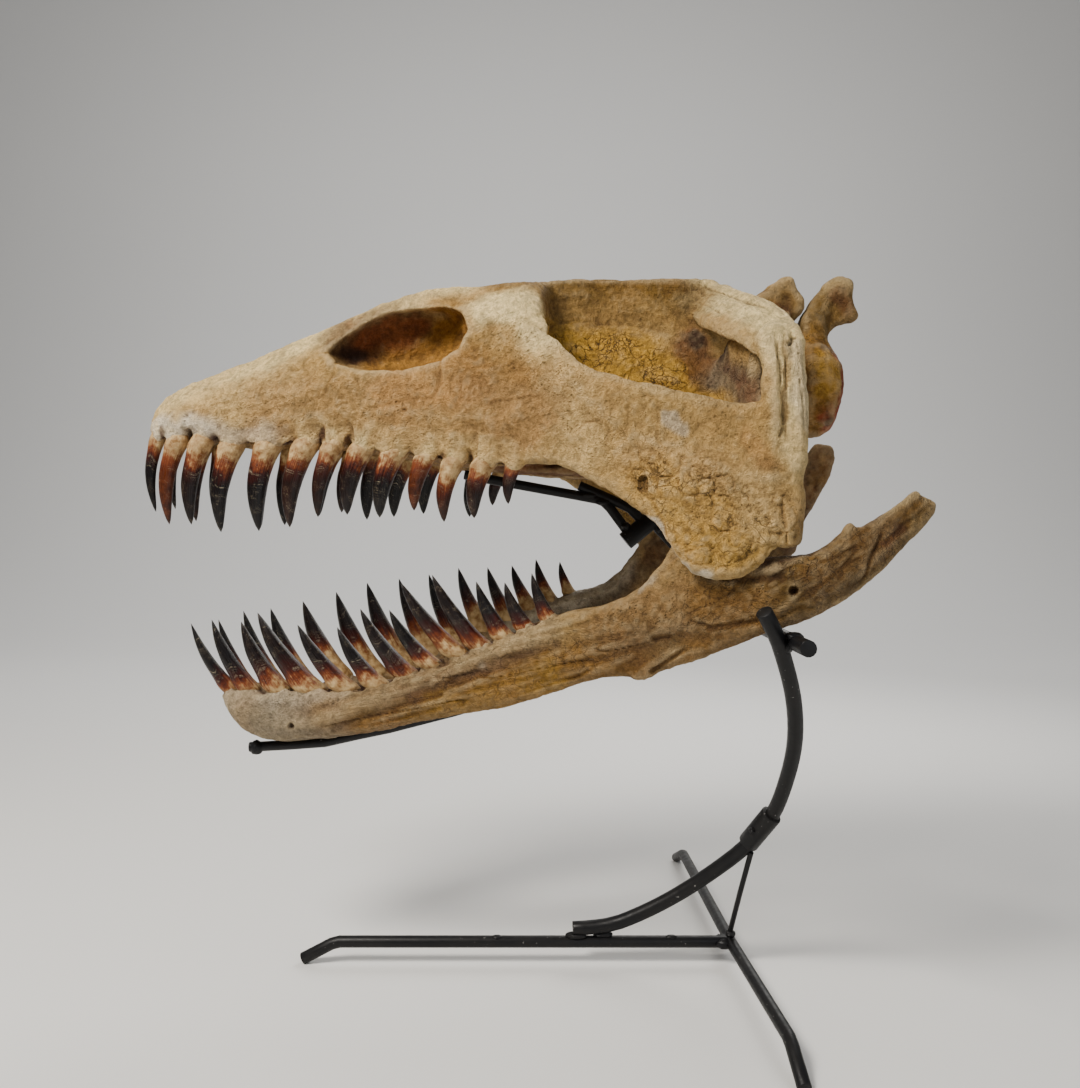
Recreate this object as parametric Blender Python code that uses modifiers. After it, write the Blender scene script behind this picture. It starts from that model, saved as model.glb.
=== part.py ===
"""Long-necked plesiosaur skull, jaws agape, with its first two neck bones, on a welded rod stand.

Lengths below are in millimetres and are turned into metres when a mesh is made.
The snout points along -X, the animal's left side faces -Y, and the floor is Z = 0.
"""
import math

import bmesh
import bpy
from mathutils import Vector

MM = 0.001
GAP = 0.3            # clearance between neighbouring pieces

# --- driving dimensions of the skull -------------------------------------------------
APEX_X = 116.0       # top of the skull, where the crest meets the two arches
TAIL_X = {"left": 211.5, "right": 187.0}   # back ends of the jaw; the right one turns up behind it
ROD = 4.25           # radius of the stand's mast and cross bar
LEG_ROD = 3.6        # radius of the stand's legs
LEG_Z = 13.0         # height of the legs' centre line
CHIN_ROD = 3.0       # radius of the rails under the chin and the palate
BRACE_ROD = 1.6      # radius of the thin brace
CLAMP_ROD = 5.8      # radius of the clamp under the palate
COLLAR_ROD = 6.0     # radius of the collar on the mast

# --- seams between the bones, as (x, z) in the side view ------------------------------
EYE_FRONT = (-118, 368)
EYE_BACK = (-40, 376)
ROOF_SEAM = (-20, 432)
GUM_SEAM = (6, 288)

# Profiles are (station, value) pairs, read in between by a smooth curve.
ROOF_Z = ((-228, 334), (-224.5, 341), (-213, 349), (-190, 358), (-153, 373), (-129, 383),
          (-104, 393), (-80, 402), (-60, 408), (-44, 410), (-7, 412), (30, 416),
          (55, 416), (APEX_X, 417))
ROOF_HALF = ((-228, 3), (-205, 7), (-153, 10), (-120, 13), (-95, 17), (-60, 20),
             (-30, 19), (-7, 13), (14, 6))
SHOULDER_Y = ((-228, 5), (-205, 17), (-153, 24), (-120, 29), (-80, 33), (-50, 36),
              (-26, 43), (-7, 45), (10, 47))
SHOULDER_Z = ((-228, 331), (-205, 343), (-153, 358), (-104, 373), (-60, 386),
              (-26, 391), (-7, 392), (10, 382))
GUM_Y = ((-228, 7), (-221, 17), (-205, 25), (-180, 29), (-153, 33), (-104, 42),
         (-60, 50), (-26, 56), (-7, 59), (10, 62))
GUM_Z = ((-228, 322), (-218, 318), (-174, 314.5), (-132, 314), (-95, 311), (-58, 305.5),
         (-25, 301.5), (-7, 300.5), (10, 304))
PALATE_Z = ((-228, 324), (-205, 325), (-153, 323), (-104, 313), (-60, 305),
            (-37, 300.8), (10, 303))

CHEEK_TOP_Z = ((-12, 387), (12, 371), (25, 357), (38, 350), (60, 343), (88, 336),
               (111, 331), (126, 333))
CHEEK_TOP_Y = ((-12, 47), (12, 62), (38, 76), (60, 83), (88, 88), (126, 94))
CHEEK_LOW_Z = ((-12, 300), (12, 301), (27, 294), (39, 287.5), (58, 274), (66, 268),
               (72, 257), (83, 243), (97, 239.5), (106, 240), (119, 247), (128, 257))
CHEEK_LOW_Y = ((-12, 60), (12, 66), (39, 78), (66, 90), (83, 97), (128, 98.5))

JAW_LOW_Z = ((-187, 164), (-178, 150), (-162, 139), (-146, 137.5), (-130, 139.5),
             (-95, 146), (-47, 158), (-17, 164), (27, 179), (46, 184.5), (60, 184.5),
             (72, 188.5), (98, 199), (122, 210), (147, 219.5), (167, 231.5), (187, 248),
             (203, 264), (211.5, 275))
JAW_TOP_Z = ((-187, 167), (-178, 169), (-146, 170.5), (-95, 173), (-80, 178),
             (-47, 192.5), (-17, 203), (5, 213.5), (27, 221), (46, 225), (60, 234),
             (72, 249), (82, 264), (90, 265), (100, 259), (112, 252), (124, 250),
             (147, 253), (157, 259), (162, 265.5), (168, 265), (176, 268), (187, 276),
             (198, 285), (205, 285), (211.5, 279))
JAW_OUT_Y = ((-187, 7), (-178, 15), (-162, 22), (-130, 30), (-95, 38), (-47, 49),
             (-17, 56), (5, 61), (27, 67), (46, 73), (72, 81), (85, 85), (98, 90),
             (112, 95), (124, 98), (147, 101), (167, 98.5), (187, 95), (211.5, 88))
JAW_IN_Y = ((-187, 0), (-128, 0), (-118, 10), (-95, 22), (-47, 34), (5, 46), (46, 60),
            (72, 68), (98, 74), (122, 79), (147, 83), (167, 86), (187, 86), (211.5, 82))
JAW_EDGE_Y = ((-187, 4), (-162, 13), (-130, 20), (-95, 30), (-47, 41), (5, 53), (46, 65),
              (60, 70), (85, 76), (98, 79), (112, 82), (147, 91), (187, 90), (211.5, 85))
JAW_EDGE_HALF = ((-187, 3), (-162, 8), (-95, 8), (46, 7), (60, 4.5), (82, 3), (98, 4),
                 (112, 6), (124, 9), (147, 8), (162, 5), (187, 4), (211.5, 3))

# --- teeth: place along the gum, forward lean of the tip, length, base radius --------
UPPER_TEETH = {
    "left": ((-221, -1, 44, 3.6), (-207, -5, 50, 5.4), (-192, -6, 49, 5.8), (-173, -7, 52, 6.3),
             (-151, -6, 51, 6.8), (-128, -10, 49, 6.6), (-112, -9, 42, 5.4), (-95, -9, 39, 6.8),
             (-76, -9, 38, 6.8), (-58, -7, 31, 5.4), (-42, -6, 35, 5.6), (-25, -6, 31, 6.0),
             (-8, -4, 22, 4.0)),
    "right": ((-221, -1, 42, 3.6), (-206, -5, 48, 5.2), (-193, -5, 48, 5.4), (-167, -5, 50, 6.4),
              (-150, -7, 48, 6.6), (-127, -9, 42, 6.2), (-113, -9, 39, 5.8), (-98, -8, 42, 6.2),
              (-80, -9, 38, 6.2), (-63, -7, 33, 5.6), (-50, -6, 31, 5.2), (-34, -6, 31, 5.4),
              (-19, -6, 22, 4.4)),
}
LOWER_TEETH = {
    "left": ((-180, -24, 46, 4.0), (-168, -22, 46, 5.0), (-149, -22, 45, 5.8), (-129, -31, 54, 7.0),
             (-107, -28, 46, 6.4), (-88, -23, 40, 5.8), (-71, -26, 45, 6.0), (-57, -23, 38, 5.6),
             (-41, -32, 51, 6.2), (-28, -27, 48, 5.8), (-14, -16, 35, 5.0), (-2, -12, 28, 4.4),
             (11, -10, 27, 3.8)),
    "right": ((-175, -18, 43, 4.0), (-160, -19, 47, 5.0), (-143, -20, 48, 5.8), (-121, -23, 52, 6.8),
              (-101, -23, 56, 7.2), (-82, -23, 57, 7.2), (-64, -21, 51, 6.2), (-47, -19, 46, 5.8),
              (-30, -17, 43, 5.6), (-13, -15, 37, 5.2), (1, -13, 31, 4.8), (14, -10, 29, 4.4),
              (27, -7, 22, 3.6)),
}
FRONT_TEETH = 5      # upper teeth of each side that the premaxilla holds
TOOTH_SIDES = 6
TOOTH_ROOT = 5.0     # depth that a tooth is set into the bone

# --- small shared tools ---------------------------------------------------------------


def along(profile, x):
    """Value of a profile at x, on a smooth curve through its pairs."""
    if x <= profile[0][0]:
        return profile[0][1]
    if x >= profile[-1][0]:
        return profile[-1][1]
    k = max(i for i in range(len(profile) - 1) if profile[i][0] <= x)
    (x0, v0), (x1, v1) = profile[k], profile[k + 1]
    rise = (v1 - v0) / (x1 - x0)
    before = (v0 - profile[k - 1][1]) / (x0 - profile[k - 1][0]) if k else rise
    after = (profile[k + 2][1] - v1) / (profile[k + 2][0] - x1) if k + 2 < len(profile) else rise
    slope0 = between_slopes(before, rise) * (x1 - x0)
    slope1 = between_slopes(rise, after) * (x1 - x0)
    t = (x - x0) / (x1 - x0)
    return (v0 * (1 + 2 * t) * (1 - t) ** 2 + v1 * t * t * (3 - 2 * t)
            + slope0 * t * (1 - t) ** 2 - slope1 * t * t * (1 - t))


def between_slopes(a, b):
    """Slope at a shared pair that never lets the curve overshoot."""
    return 0.0 if a * b <= 0 else 2 * a * b / (a + b)


def collection(name):
    found = bpy.data.collections.new(name)
    bpy.context.scene.collection.children.link(found)
    return found


def add_mesh(name, verts, faces):
    """Object in the workshop collection from millimetre points, with its faces turned out."""
    mesh = bpy.data.meshes.new(name)
    shape = bmesh.new()
    points = [shape.verts.new([c * MM for c in v]) for v in verts]
    for face in faces:
        shape.faces.new([points[i] for i in face])
    bmesh.ops.recalc_face_normals(shape, faces=shape.faces)
    shape.to_mesh(mesh)
    shape.free()
    made = bpy.data.objects.new(name, mesh)
    workshop.objects.link(made)
    return made


def loft(name, rings):
    """Closed skin over rings that all have the same number of points."""
    count = len(rings[0])
    verts = [point for ring in rings for point in ring]
    faces = [range(count), range(len(verts) - count, len(verts))]
    for r in range(len(rings) - 1):
        for i in range(count):
            j = (i + 1) % count
            a = r * count
            faces.append((a + i, a + j, a + count + j, a + count + i))
    return add_mesh(name, verts, faces)


def both_halves(half, x):
    """Whole ring at x from (y, z) points that run from the top centre to the bottom centre."""
    left = [(x, -y, z) for y, z in half]
    right = [(x, y, z) for y, z in reversed(half[1:-1])]
    return left + right


def combine(target, tools, operation, solvers=("EXACT", "MANIFOLD")):
    """Boolean the tools into the target one after the other, and use them up."""
    for tool in tools:
        for solver in solvers:
            mesh = combined(target, tool, operation, solver)
            if is_sound(mesh, target.data, tool.data, operation):
                break
        target.data = mesh
        bpy.data.objects.remove(tool)
    return target


def combined(target, tool, operation, solver):
    cut = target.modifiers.new("Boolean", "BOOLEAN")
    cut.operation = operation
    cut.solver = solver
    cut.object = tool
    bpy.context.view_layer.update()
    depsgraph = bpy.context.evaluated_depsgraph_get()
    mesh = bpy.data.meshes.new_from_object(target.evaluated_get(depsgraph))
    target.modifiers.clear()
    return mesh


def is_sound(mesh, before, tool, operation):
    """True if a Boolean's result is closed and its volume is one that the shapes allow."""
    volume, closed = measure(mesh)
    start, reach = measure(before)[0], measure(tool)[0]
    slack = 1e-4 * start
    if operation == "UNION":
        likely = max(start, reach) - slack < volume < start + reach + slack
    else:
        likely = start - reach - slack < volume < start + slack
    return closed and likely


def measure(mesh):
    """Volume of a mesh, and whether it is closed."""
    shape = bmesh.new()
    shape.from_mesh(mesh)
    closed = all(edge.is_manifold for edge in shape.edges)
    volume = shape.calc_volume()
    shape.free()
    return volume, closed


def tube(name, route, radius):
    """Capped round bar along a smooth route of (x, y, z) points, as a mesh."""
    curve = bpy.data.curves.new(name, "CURVE")
    curve.dimensions = "3D"
    curve.bevel_depth = radius * MM
    curve.bevel_resolution = 2
    curve.use_fill_caps = True
    spline = curve.splines.new("POLY")
    spline.points.add(len(route) - 1)
    for point, place in zip(spline.points, route):
        point.co = [c * MM for c in place] + [1.0]
    bar = bpy.data.objects.new(name, curve)
    workshop.objects.link(bar)
    bpy.context.view_layer.update()
    mesh = bpy.data.meshes.new_from_object(bar.evaluated_get(bpy.context.evaluated_depsgraph_get()))
    bpy.data.objects.remove(bar)
    shape = bmesh.new()
    shape.from_mesh(mesh)
    bmesh.ops.remove_doubles(shape, verts=shape.verts, dist=0.00001)
    bmesh.ops.recalc_face_normals(shape, faces=shape.faces)
    shape.to_mesh(mesh)
    shape.free()
    made = bpy.data.objects.new(name, mesh)
    workshop.objects.link(made)
    return made


def ball(name, centre, radii, segments=16, rings=10):
    """Stretched sphere."""
    mesh = bpy.data.meshes.new(name)
    shape = bmesh.new()
    bmesh.ops.create_uvsphere(shape, u_segments=segments, v_segments=rings, radius=1.0)
    for vert in shape.verts:
        vert.co = [(c + v * r) * MM for c, v, r in zip(centre, vert.co, radii)]
    shape.to_mesh(mesh)
    shape.free()
    made = bpy.data.objects.new(name, mesh)
    workshop.objects.link(made)
    return made


def saw(name, first, second):
    """Thin plate between two edges that have the same number of (x, y, z) points."""
    count = len(first)
    faces = [(i, i + 1, count + i + 1, count + i) for i in range(count - 1)]
    plate = add_mesh(name, list(first) + list(second), faces)
    thick = plate.modifiers.new("Solidify", "SOLIDIFY")
    thick.thickness = GAP * MM
    thick.offset = 0.0
    thick.use_even_offset = True
    bpy.context.view_layer.update()
    depsgraph = bpy.context.evaluated_depsgraph_get()
    mesh = bpy.data.meshes.new_from_object(plate.evaluated_get(depsgraph))
    plate.modifiers.clear()
    plate.data = mesh
    return plate


def cross_saw(name, blade, near, far):
    """Saw that follows a blade of (x, z) points and runs from y = near to y = far."""
    return saw(name, [(x, near, z) for x, z in blade], [(x, far, z) for x, z in blade])


def split(whole, names):
    """Part a sawn body into its loose pieces, each named by the nearest of the given places."""
    shape = bmesh.new()
    shape.from_mesh(whole.data)
    left = set(shape.verts)
    groups = []
    while left:
        group = set()
        front = [left.pop()]
        while front:
            vert = front.pop()
            group.add(vert)
            for edge in vert.link_edges:
                other = edge.other_vert(vert)
                if other in left:
                    left.remove(other)
                    front.append(other)
        groups.append(group)
    if len(groups) != len(names):
        raise ValueError(f"{whole.name}: {len(groups)} pieces for {len(names)} names")
    made = {}
    for name, place in names.items():
        target = Vector(place) * MM
        group = min(groups, key=lambda g: (middle(g) - target).length)
        groups.remove(group)
        verts = list(group)
        verts.sort(key=lambda v: v.index)
        order = {vert: i for i, vert in enumerate(verts)}
        faces = [[order[v] for v in face.verts] for face in shape.faces if face.verts[0] in group]
        made[name] = add_mesh(name, [v.co / MM for v in verts], faces)
    shape.free()
    bpy.data.objects.remove(whole)
    return made


def middle(verts):
    """Centre of the box round some vertices."""
    low = Vector([min(v.co[i] for v in verts) for i in range(3)])
    high = Vector([max(v.co[i] for v in verts) for i in range(3)])
    return (low + high) / 2


# --- skull ----------------------------------------------------------------------------


def snout_ring(x):
    """Ring of the snout, eye region and the bar behind the eye."""
    top = along(ROOF_Z, x)
    roof = along(ROOF_HALF, x)
    gum_y = along(GUM_Y, x)
    gum_z = along(GUM_Z, x)
    shoulder = (along(SHOULDER_Y, x), along(SHOULDER_Z, x))
    palate = along(PALATE_Z, x)
    bulge_z = gum_z + 0.3 * (shoulder[1] - gum_z)
    half = [(0, top), (roof, top - 1 - 0.06 * roof), shoulder,
            (0.55 * shoulder[0] + 0.45 * gum_y + 3, 0.5 * (shoulder[1] + bulge_z)),
            (gum_y + 1.8, bulge_z), (gum_y, gum_z), (gum_y * 0.72, gum_z + 0.3),
            (gum_y * 0.45, palate), (0, palate + 0.4)]
    return both_halves(half, x)


def make_snout():
    stations = (-228, -226, -221, -213, -203, -190, -172, -153, -136, -120, -104, -88, -74,
                -60, -44, -30, -16, -3, 10)
    return loft("snout", [snout_ring(x) for x in stations])


def make_crest():
    """Tall thin crest over the braincase, between the two temporal spaces."""
    rings = []
    for x in (-14, 0, 24, 52, 78, 98, 111, 121, 126):
        top = along(ROOF_Z, x) - (2.0 if x < 5 else 0.0) - (0 if x < 118 else 2.2 * (x - 118))
        wide = 1.0 if x < 90 else 1.0 - 0.008 * (x - 90)
        half = [(0, top), (3.2, top - 1.2), (5.0, top - 13), (8.5, 388), (15 * wide, 366),
                (23 * wide, 345), (26 * wide, 328), (20 * wide, 311), (9, 302.5), (0, 302)]
        rings.append(both_halves(half, x))
    return loft("crest", rings)


def cheek_ring(x):
    """Ring of the curved plate from the eye's rear bar to the jaw joint."""
    top_y, top_z = along(CHEEK_TOP_Y, x), along(CHEEK_TOP_Z, x)
    low_y, low_z = along(CHEEK_LOW_Y, x), along(CHEEK_LOW_Z, x)
    upper = (0.7 * top_y + 0.3 * low_y + 1.5, 0.7 * top_z + 0.3 * low_z)
    lower = (0.3 * top_y + 0.7 * low_y + 1.5, 0.3 * top_z + 0.7 * low_z)
    outer = [(top_y - 3, top_z), (top_y, top_z - 3), upper, lower, (low_y, low_z + 3), (low_y - 3, low_z)]
    inner = [(low_y - 7, low_z + 1), (lower[0] - 7.5, lower[1]), (upper[0] - 8, upper[1]),
             (top_y - 9, top_z - 2)]
    return [(x, -y, z) for y, z in outer + inner]


def make_cheek():
    stations = (-12, 3, 14, 26, 38, 50, 61, 68, 73, 83, 95, 106, 116, 126)
    return loft("cheek", [cheek_ring(x) for x in stations])


def make_quadrate():
    """Upright bar at the back of the cheek, ending below in the jaw joint's rounded end."""
    levels = ((257, 124, 140, 97, 76), (260, 121, 142, 98.5, 73), (267, 118, 142.5, 99, 74),
              (285, 118, 142.5, 98, 82), (307, 118, 143, 97.5, 85), (335, 120.5, 143, 95.5, 84),
              (350, 121.5, 143, 94, 82), (366, 119, 143, 91, 78), (374, 123, 141, 86, 77))
    rings = []
    for z, front, back, out, inn in levels:
        soft = 0.22 * (back - front)
        rings.append([(front, -out + 3, z), (front + soft, -out, z), (back - soft, -out, z),
                      (back, -out + 3, z), (back, -inn - 2, z), (back - soft, -inn, z),
                      (front + soft, -inn, z), (front, -inn - 2, z)])
    return loft("quadrate", rings)


def make_arch():
    """Broad strap from the crest's top, out and down to the upright bar: (y, front edge, back edge)."""
    bands = ((-2, (100, 392), (APEX_X - 2, 413)), (-12, (97, 388), (119, 411)),
             (-26, (98.5, 381), (124, 404)), (-45, (104, 376), (130, 396)),
             (-64, (110, 369), (136, 385.5)), (-79, (117, 359), (140.5, 376)),
             (-87, (123.5, 350), (140.5, 364)))
    rings = []
    for y, (x0, z0), (x1, z1) in bands:
        along_band = Vector((x1 - x0, 0, z1 - z0)).normalized()
        out = Vector((-along_band.z, 0, along_band.x)) * (4.2 if y > -70 else 3.0)
        front, back = Vector((x0, y, z0)), Vector((x1, y, z1))
        inset = along_band * 3.0
        rings.append([front, front + inset + out, (front + back) / 2 + out * 1.25,
                      back - inset + out, back, back - inset - out,
                      (front + back) / 2 - out, front + inset - out])
    return loft("arch", rings)


def make_palate():
    """Thin plate under the braincase and its wings to the jaw joints."""
    rings = []
    for x, wide, low in ((-21, 19, 298.4), (16, 25, 296.2), (38, 36, 295.4), (66, 34, 295.4),
                         (90, 25, 295.4), (106, 16, 295.4)):
        half = [(0, 305), (wide * 0.7, 304), (wide, 300.6), (wide * 0.9, low + 1.2), (0, low)]
        rings.append(both_halves(half, x))
    plate = loft("palate", rings)
    wings = [tube("wing", [(72, s * 20, 297.5), (92, s * 40, 296), (110, s * 62, 295), (125, s * 82, 293)],
                  5.3) for s in (-1, 1)]
    return combine(plate, wings, "UNION")


def make_back_of_head():
    """Round joint for the neck, and the two sheets that brace the braincase to the cheeks."""
    knob = ball("knob", (117, 0, 344), (13, 12, 11), 12, 8)
    sheets = []
    for side in (-1, 1):
        rings = []
        for y, x0, x1, z0, z1 in ((8, 106, 118, 330, 366), (22, 108, 119, 330, 366),
                                  (40, 112, 121, 328, 363), (58, 117, 125, 322, 354),
                                  (71, 121, 128, 318, 339), (90, 123, 130, 316, 334)):
            rings.append([(x0, side * y, z0 + 3), (x0, side * y, z1 - 3), ((x0 + x1) / 2, side * y, z1),
                          (x1, side * y, z1 - 3), (x1, side * y, z0 + 3), ((x0 + x1) / 2, side * y, z0)])
        sheets.append(loft("sheet", rings))
    return combine(knob, sheets, "UNION")


def make_eye_socket():
    """Blind egg-shaped pocket, wide outside and narrower toward the midline."""
    rim = ((-119, 367), (-112, 359), (-97, 355.5), (-72, 355), (-52, 359), (-40, 367),
           (-34.5, 378), (-38, 389), (-50, 397), (-66, 397.5), (-84, 393), (-100, 385.5),
           (-112, 376.5))
    centre_x, centre_z, inner_roof = -76, 376, 393
    rings = []
    for y, size in ((-90, 1.0), (-30, 1.0), (-17, 0.86), (-9, 0.5)):
        rings.append([(centre_x + (x - centre_x) * size, y,
                       min(centre_z + (z - centre_z) * size, inner_roof)) for x, z in rim])
    return loft("socket", rings)


def make_temple_hollow():
    """Space that undercuts the bar behind the eye, from the top of the skull to its underside."""
    rings = []
    for z, front, y0, y1 in ((280, 1, 24, 48), (300, 0, 24.5, 50), (330, -2, 26.4, 55), (355, -1, 21.8, 54),
                             (372, 2, 15.5, 50), (388, 8, 9.6, 44), (430, 15, 6, 40)):
        mid = (y0 + y1) / 2
        rings.append([(40, -y0, z), (front + 8, -y0, z), (front, -mid + 6, z), (front, -mid - 6, z),
                      (front + 6, -y1, z), (40, -y1, z)])
    return loft("hollow", rings)


def tooth(name, base, tip, radius, sides=TOOTH_SIDES):
    """Curved cone from a base point to a tip, bowed against its lean."""
    base, tip = Vector(base), Vector(tip)
    line = tip - base
    root = base - line.normalized() * TOOTH_ROOT
    bow = Vector((1, 0, 0)) * line.length * 0.06
    verts = []
    steps = ((0.0, 0.95, root), (0.0, 1.0, base), (0.55, 0.78, None))
    for t, size, place in steps:
        centre = place if place is not None else base + line * t - bow * math.sin(math.pi * t)
        for i in range(sides):
            turn = 2 * math.pi * i / sides
            verts.append(centre + Vector((math.cos(turn), math.sin(turn) * 0.85, 0)) * radius * size)
    verts.append(tip)
    rows = len(steps)
    faces = [range(sides)]
    for r in range(rows - 1):
        for i in range(sides):
            j = (i + 1) % sides
            a = r * sides
            faces.append((a + i, a + j, a + sides + j, a + sides + i))
    last = (rows - 1) * sides
    faces += [(last + i, last + (i + 1) % sides, len(verts) - 1) for i in range(sides)]
    return add_mesh(name, verts, faces)


def upper_teeth(side, word):
    teeth = []
    for x, lean, length, radius in UPPER_TEETH[word]:
        y = along(GUM_Y, x) - radius * 0.75
        z = along(GUM_Z, x)
        drop = math.sqrt(length ** 2 - lean ** 2)
        teeth.append(tooth("tooth", (x, side * y, z + 1), (x + lean, side * (y + 1.5), z - drop), radius))
    return teeth


def lower_teeth(side, word):
    teeth = []
    for x, lean, length, radius in LOWER_TEETH[word]:
        y = along(JAW_EDGE_Y, x)
        z = along(JAW_TOP_Z, x)
        rise = math.sqrt(length ** 2 - lean ** 2)
        teeth.append(tooth("tooth", (x, side * y, z - 1), (x + lean, side * (y + 2), z + rise), radius))
    return teeth


def mirrored(made):
    """Copy of a left-hand shape for the right side."""
    copy = made.copy()
    copy.data = made.data.copy()
    workshop.objects.link(copy)
    for vert in copy.data.vertices:
        vert.co.y = -vert.co.y
    copy.data.flip_normals()
    return copy


def make_skull():
    """Whole skull as one body."""
    skull = make_snout()
    socket = make_eye_socket()
    hollow = make_temple_hollow()
    combine(skull, [mirrored(socket), socket, mirrored(hollow), hollow], "DIFFERENCE")
    sides = []
    for part in (make_cheek(), make_quadrate(), make_arch()):
        sides += [mirrored(part), part]
    combine(skull, [make_crest(), make_palate(), make_back_of_head()] + sides, "UNION")
    skull.name = "skull"
    return skull


def seam_x(z):
    """Front edge, at height z, of everything behind the eyes."""
    if z > EYE_BACK[1]:
        return EYE_BACK[0] + (z - EYE_BACK[1]) * (ROOF_SEAM[0] - EYE_BACK[0]) / (ROOF_SEAM[1] - EYE_BACK[1])
    return EYE_BACK[0] + (EYE_BACK[1] - z) * (GUM_SEAM[0] - EYE_BACK[0]) / (EYE_BACK[1] - GUM_SEAM[1])


def part_skull(skull):
    """Saw the skull along its seams and name its bones."""
    deep = 285
    high = 432
    saws = [
        saw("midline", [(-245, 0, high), (-142, 0, high), (EYE_FRONT[0], 0, EYE_FRONT[1]),
                        (EYE_BACK[0], 0, EYE_BACK[1]), (GUM_SEAM[0], 0, GUM_SEAM[1])],
            [(-245, 0, deep), (-142, 0, deep), (EYE_FRONT[0], 0, deep), (EYE_BACK[0], 0, deep),
             (GUM_SEAM[0], 0, deep)]),
        cross_saw("premaxilla", [(-152, 405), (-140.5, 309)], -60, 60),
        cross_saw("brow", [(-142, high), EYE_FRONT, EYE_BACK, ROOF_SEAM], -80, 80),
        cross_saw("jugal", [EYE_BACK, GUM_SEAM], -90, 90),
        cross_saw("crest_foot", [(seam_x(358), 358), (140, 358)], -20.8, 20.8),
        cross_saw("palate_top", [(seam_x(307), 307), (140, 307)], -28, 28),
    ]
    inner = ((4.6, high), (6.6, 404), (10.6, 388), (14.4, EYE_BACK[1]), (17.6, 366), (25, 347), (28, 328),
             (28, deep))
    root = ((6.5, high), (13, 390), (20, 366), (20.8, 357.9))
    for side in (-1, 1):
        saws += [
            saw("temple", [(seam_x(z), side * y, z) for y, z in inner],
                [(17, side * y, z) for y, z in inner]),
            saw("arch_root", [(84, side * y, z) for y, z in root],
                [(130, side * y, z) for y, z in root]),
            cross_saw("arch_foot", [(110, 341), (150, 341)], side * 68, side * 108),
            cross_saw("quadrate", [(117, 225), (117, 300), (150, 300)], side * 76.5, side * 110),
            saw("wing", [(98, side * 70, 284), (98, side * 70, 303)],
                [(130, side * 70, 284), (130, side * 70, 303)]),
            saw("sheet", [(105, side * 72, 312), (105, side * 72, 356)],
                [(142, side * 72, 312), (142, side * 72, 356)]),
        ]
    combine(skull, saws, "DIFFERENCE", ("MANIFOLD", "EXACT"))
    names = {"frontal": (-75, 0, 392), "parietal_crest": (45, 0, 388),
             "braincase": (55, 0, 331), "palate": (55, 0, 297)}
    for side, word in ((-1, "left"), (1, "right")):
        names["premaxilla_" + word] = (-188, side * 17, 312)
        names["maxilla_" + word] = (-70, side * 28, 330)
        names["cheek_" + word] = (50, side * 60, 325)
        names["squamosal_arch_" + word] = (115, side * 50, 378)
        names["quadrate_" + word] = (130, side * 84, 278)
    bones = split(skull, names)
    for side, word in ((-1, "left"), (1, "right")):
        teeth = upper_teeth(side, word)
        combine(bones["premaxilla_" + word], teeth[:FRONT_TEETH], "UNION")
        combine(bones["maxilla_" + word], teeth[FRONT_TEETH:], "UNION")
    return bones


# --- lower jaw ------------------------------------------------------------------------


def jaw_ring(x):
    """Ring of the left side of the lower jaw."""
    low, top = along(JAW_LOW_Z, x), along(JAW_TOP_Z, x)
    out, inn = along(JAW_OUT_Y, x), along(JAW_IN_Y, x)
    edge, half = along(JAW_EDGE_Y, x), along(JAW_EDGE_HALF, x)
    tall = top - low
    chin = x < -125
    inner_edge = max(edge - half, inn if chin else 0) + (GAP / 2 if chin else 0)
    inn += GAP / 2
    points = [(edge + half, top - 0.08 * tall), (edge + half * 0.6, top), (edge - half * 0.6, top),
              (inner_edge, top - 0.08 * tall), (0.5 * (inner_edge + inn), top - 0.3 * tall),
              (inn, low + 0.45 * tall), (inn if chin else inn + 2, low + (-1 if chin else 0.12 * tall)),
              (0.55 * inn + 0.45 * out, low), (out - 0.16 * (out - inn), low + 0.1 * tall),
              (out, low + 0.36 * tall), (0.5 * (out + edge + half), low + 0.68 * tall)]
    return [(x, -y, z) for y, z in points]


def make_jaw(tail):
    stations = (-187, -184, -178, -170, -158, -146, -129, -112, -88, -64, -40, -17, 5, 24, 40, 52,
                62, 70, 76, 83, 91, 100, 112, 124, 136, 147, 157, 163, 172, 187, 200, 211.5)
    return loft("jaw", [jaw_ring(x) for x in stations if x <= tail])


def make_bent_tail():
    """Steep back end of the right side of the lower jaw."""
    rings = []
    for half, lower, upper in ((3.5, (168, 236), (166, 262)), (4.5, (184, 247), (176, 270)),
                               (4.5, (192, 267), (180, 279)), (4.5, (201, 285), (186, 296)),
                               (4.5, (210, 299), (190, 310)), (4.2, (214.4, 313), (194.5, 317.5)),
                               (2.5, (212.5, 321.5), (199, 323.5))):
        (x0, z0), (x1, z1) = lower, upper
        ring = []
        for i in range(8):
            turn = math.pi * i / 4
            t = 0.5 + 0.5 * math.cos(turn)
            ring.append((x0 + (x1 - x0) * t, 89 + half * math.sin(turn), z0 + (z1 - z0) * t))
        rings.append(ring)
    return loft("tail", rings)


def part_jaw(side, word):
    """One side of the lower jaw with its teeth, sawn in two behind the last tooth."""
    jaw = make_jaw(TAIL_X[word])
    if side > 0:
        left = jaw
        jaw = mirrored(left)
        bpy.data.objects.remove(left)
        combine(jaw, [make_bent_tail()], "UNION")
    combine(jaw, lower_teeth(side, word), "UNION")
    combine(jaw, [cross_saw("jaw_seam", [(76, 260), (50, 160)], side * 30, side * 120)], "DIFFERENCE")
    return split(jaw, {"lower_jaw_front_" + word: (-63, side * 35, 185),
                       "lower_jaw_back_" + word: (132, side * 85, 225)})


# --- neck bones -----------------------------------------------------------------------


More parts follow.
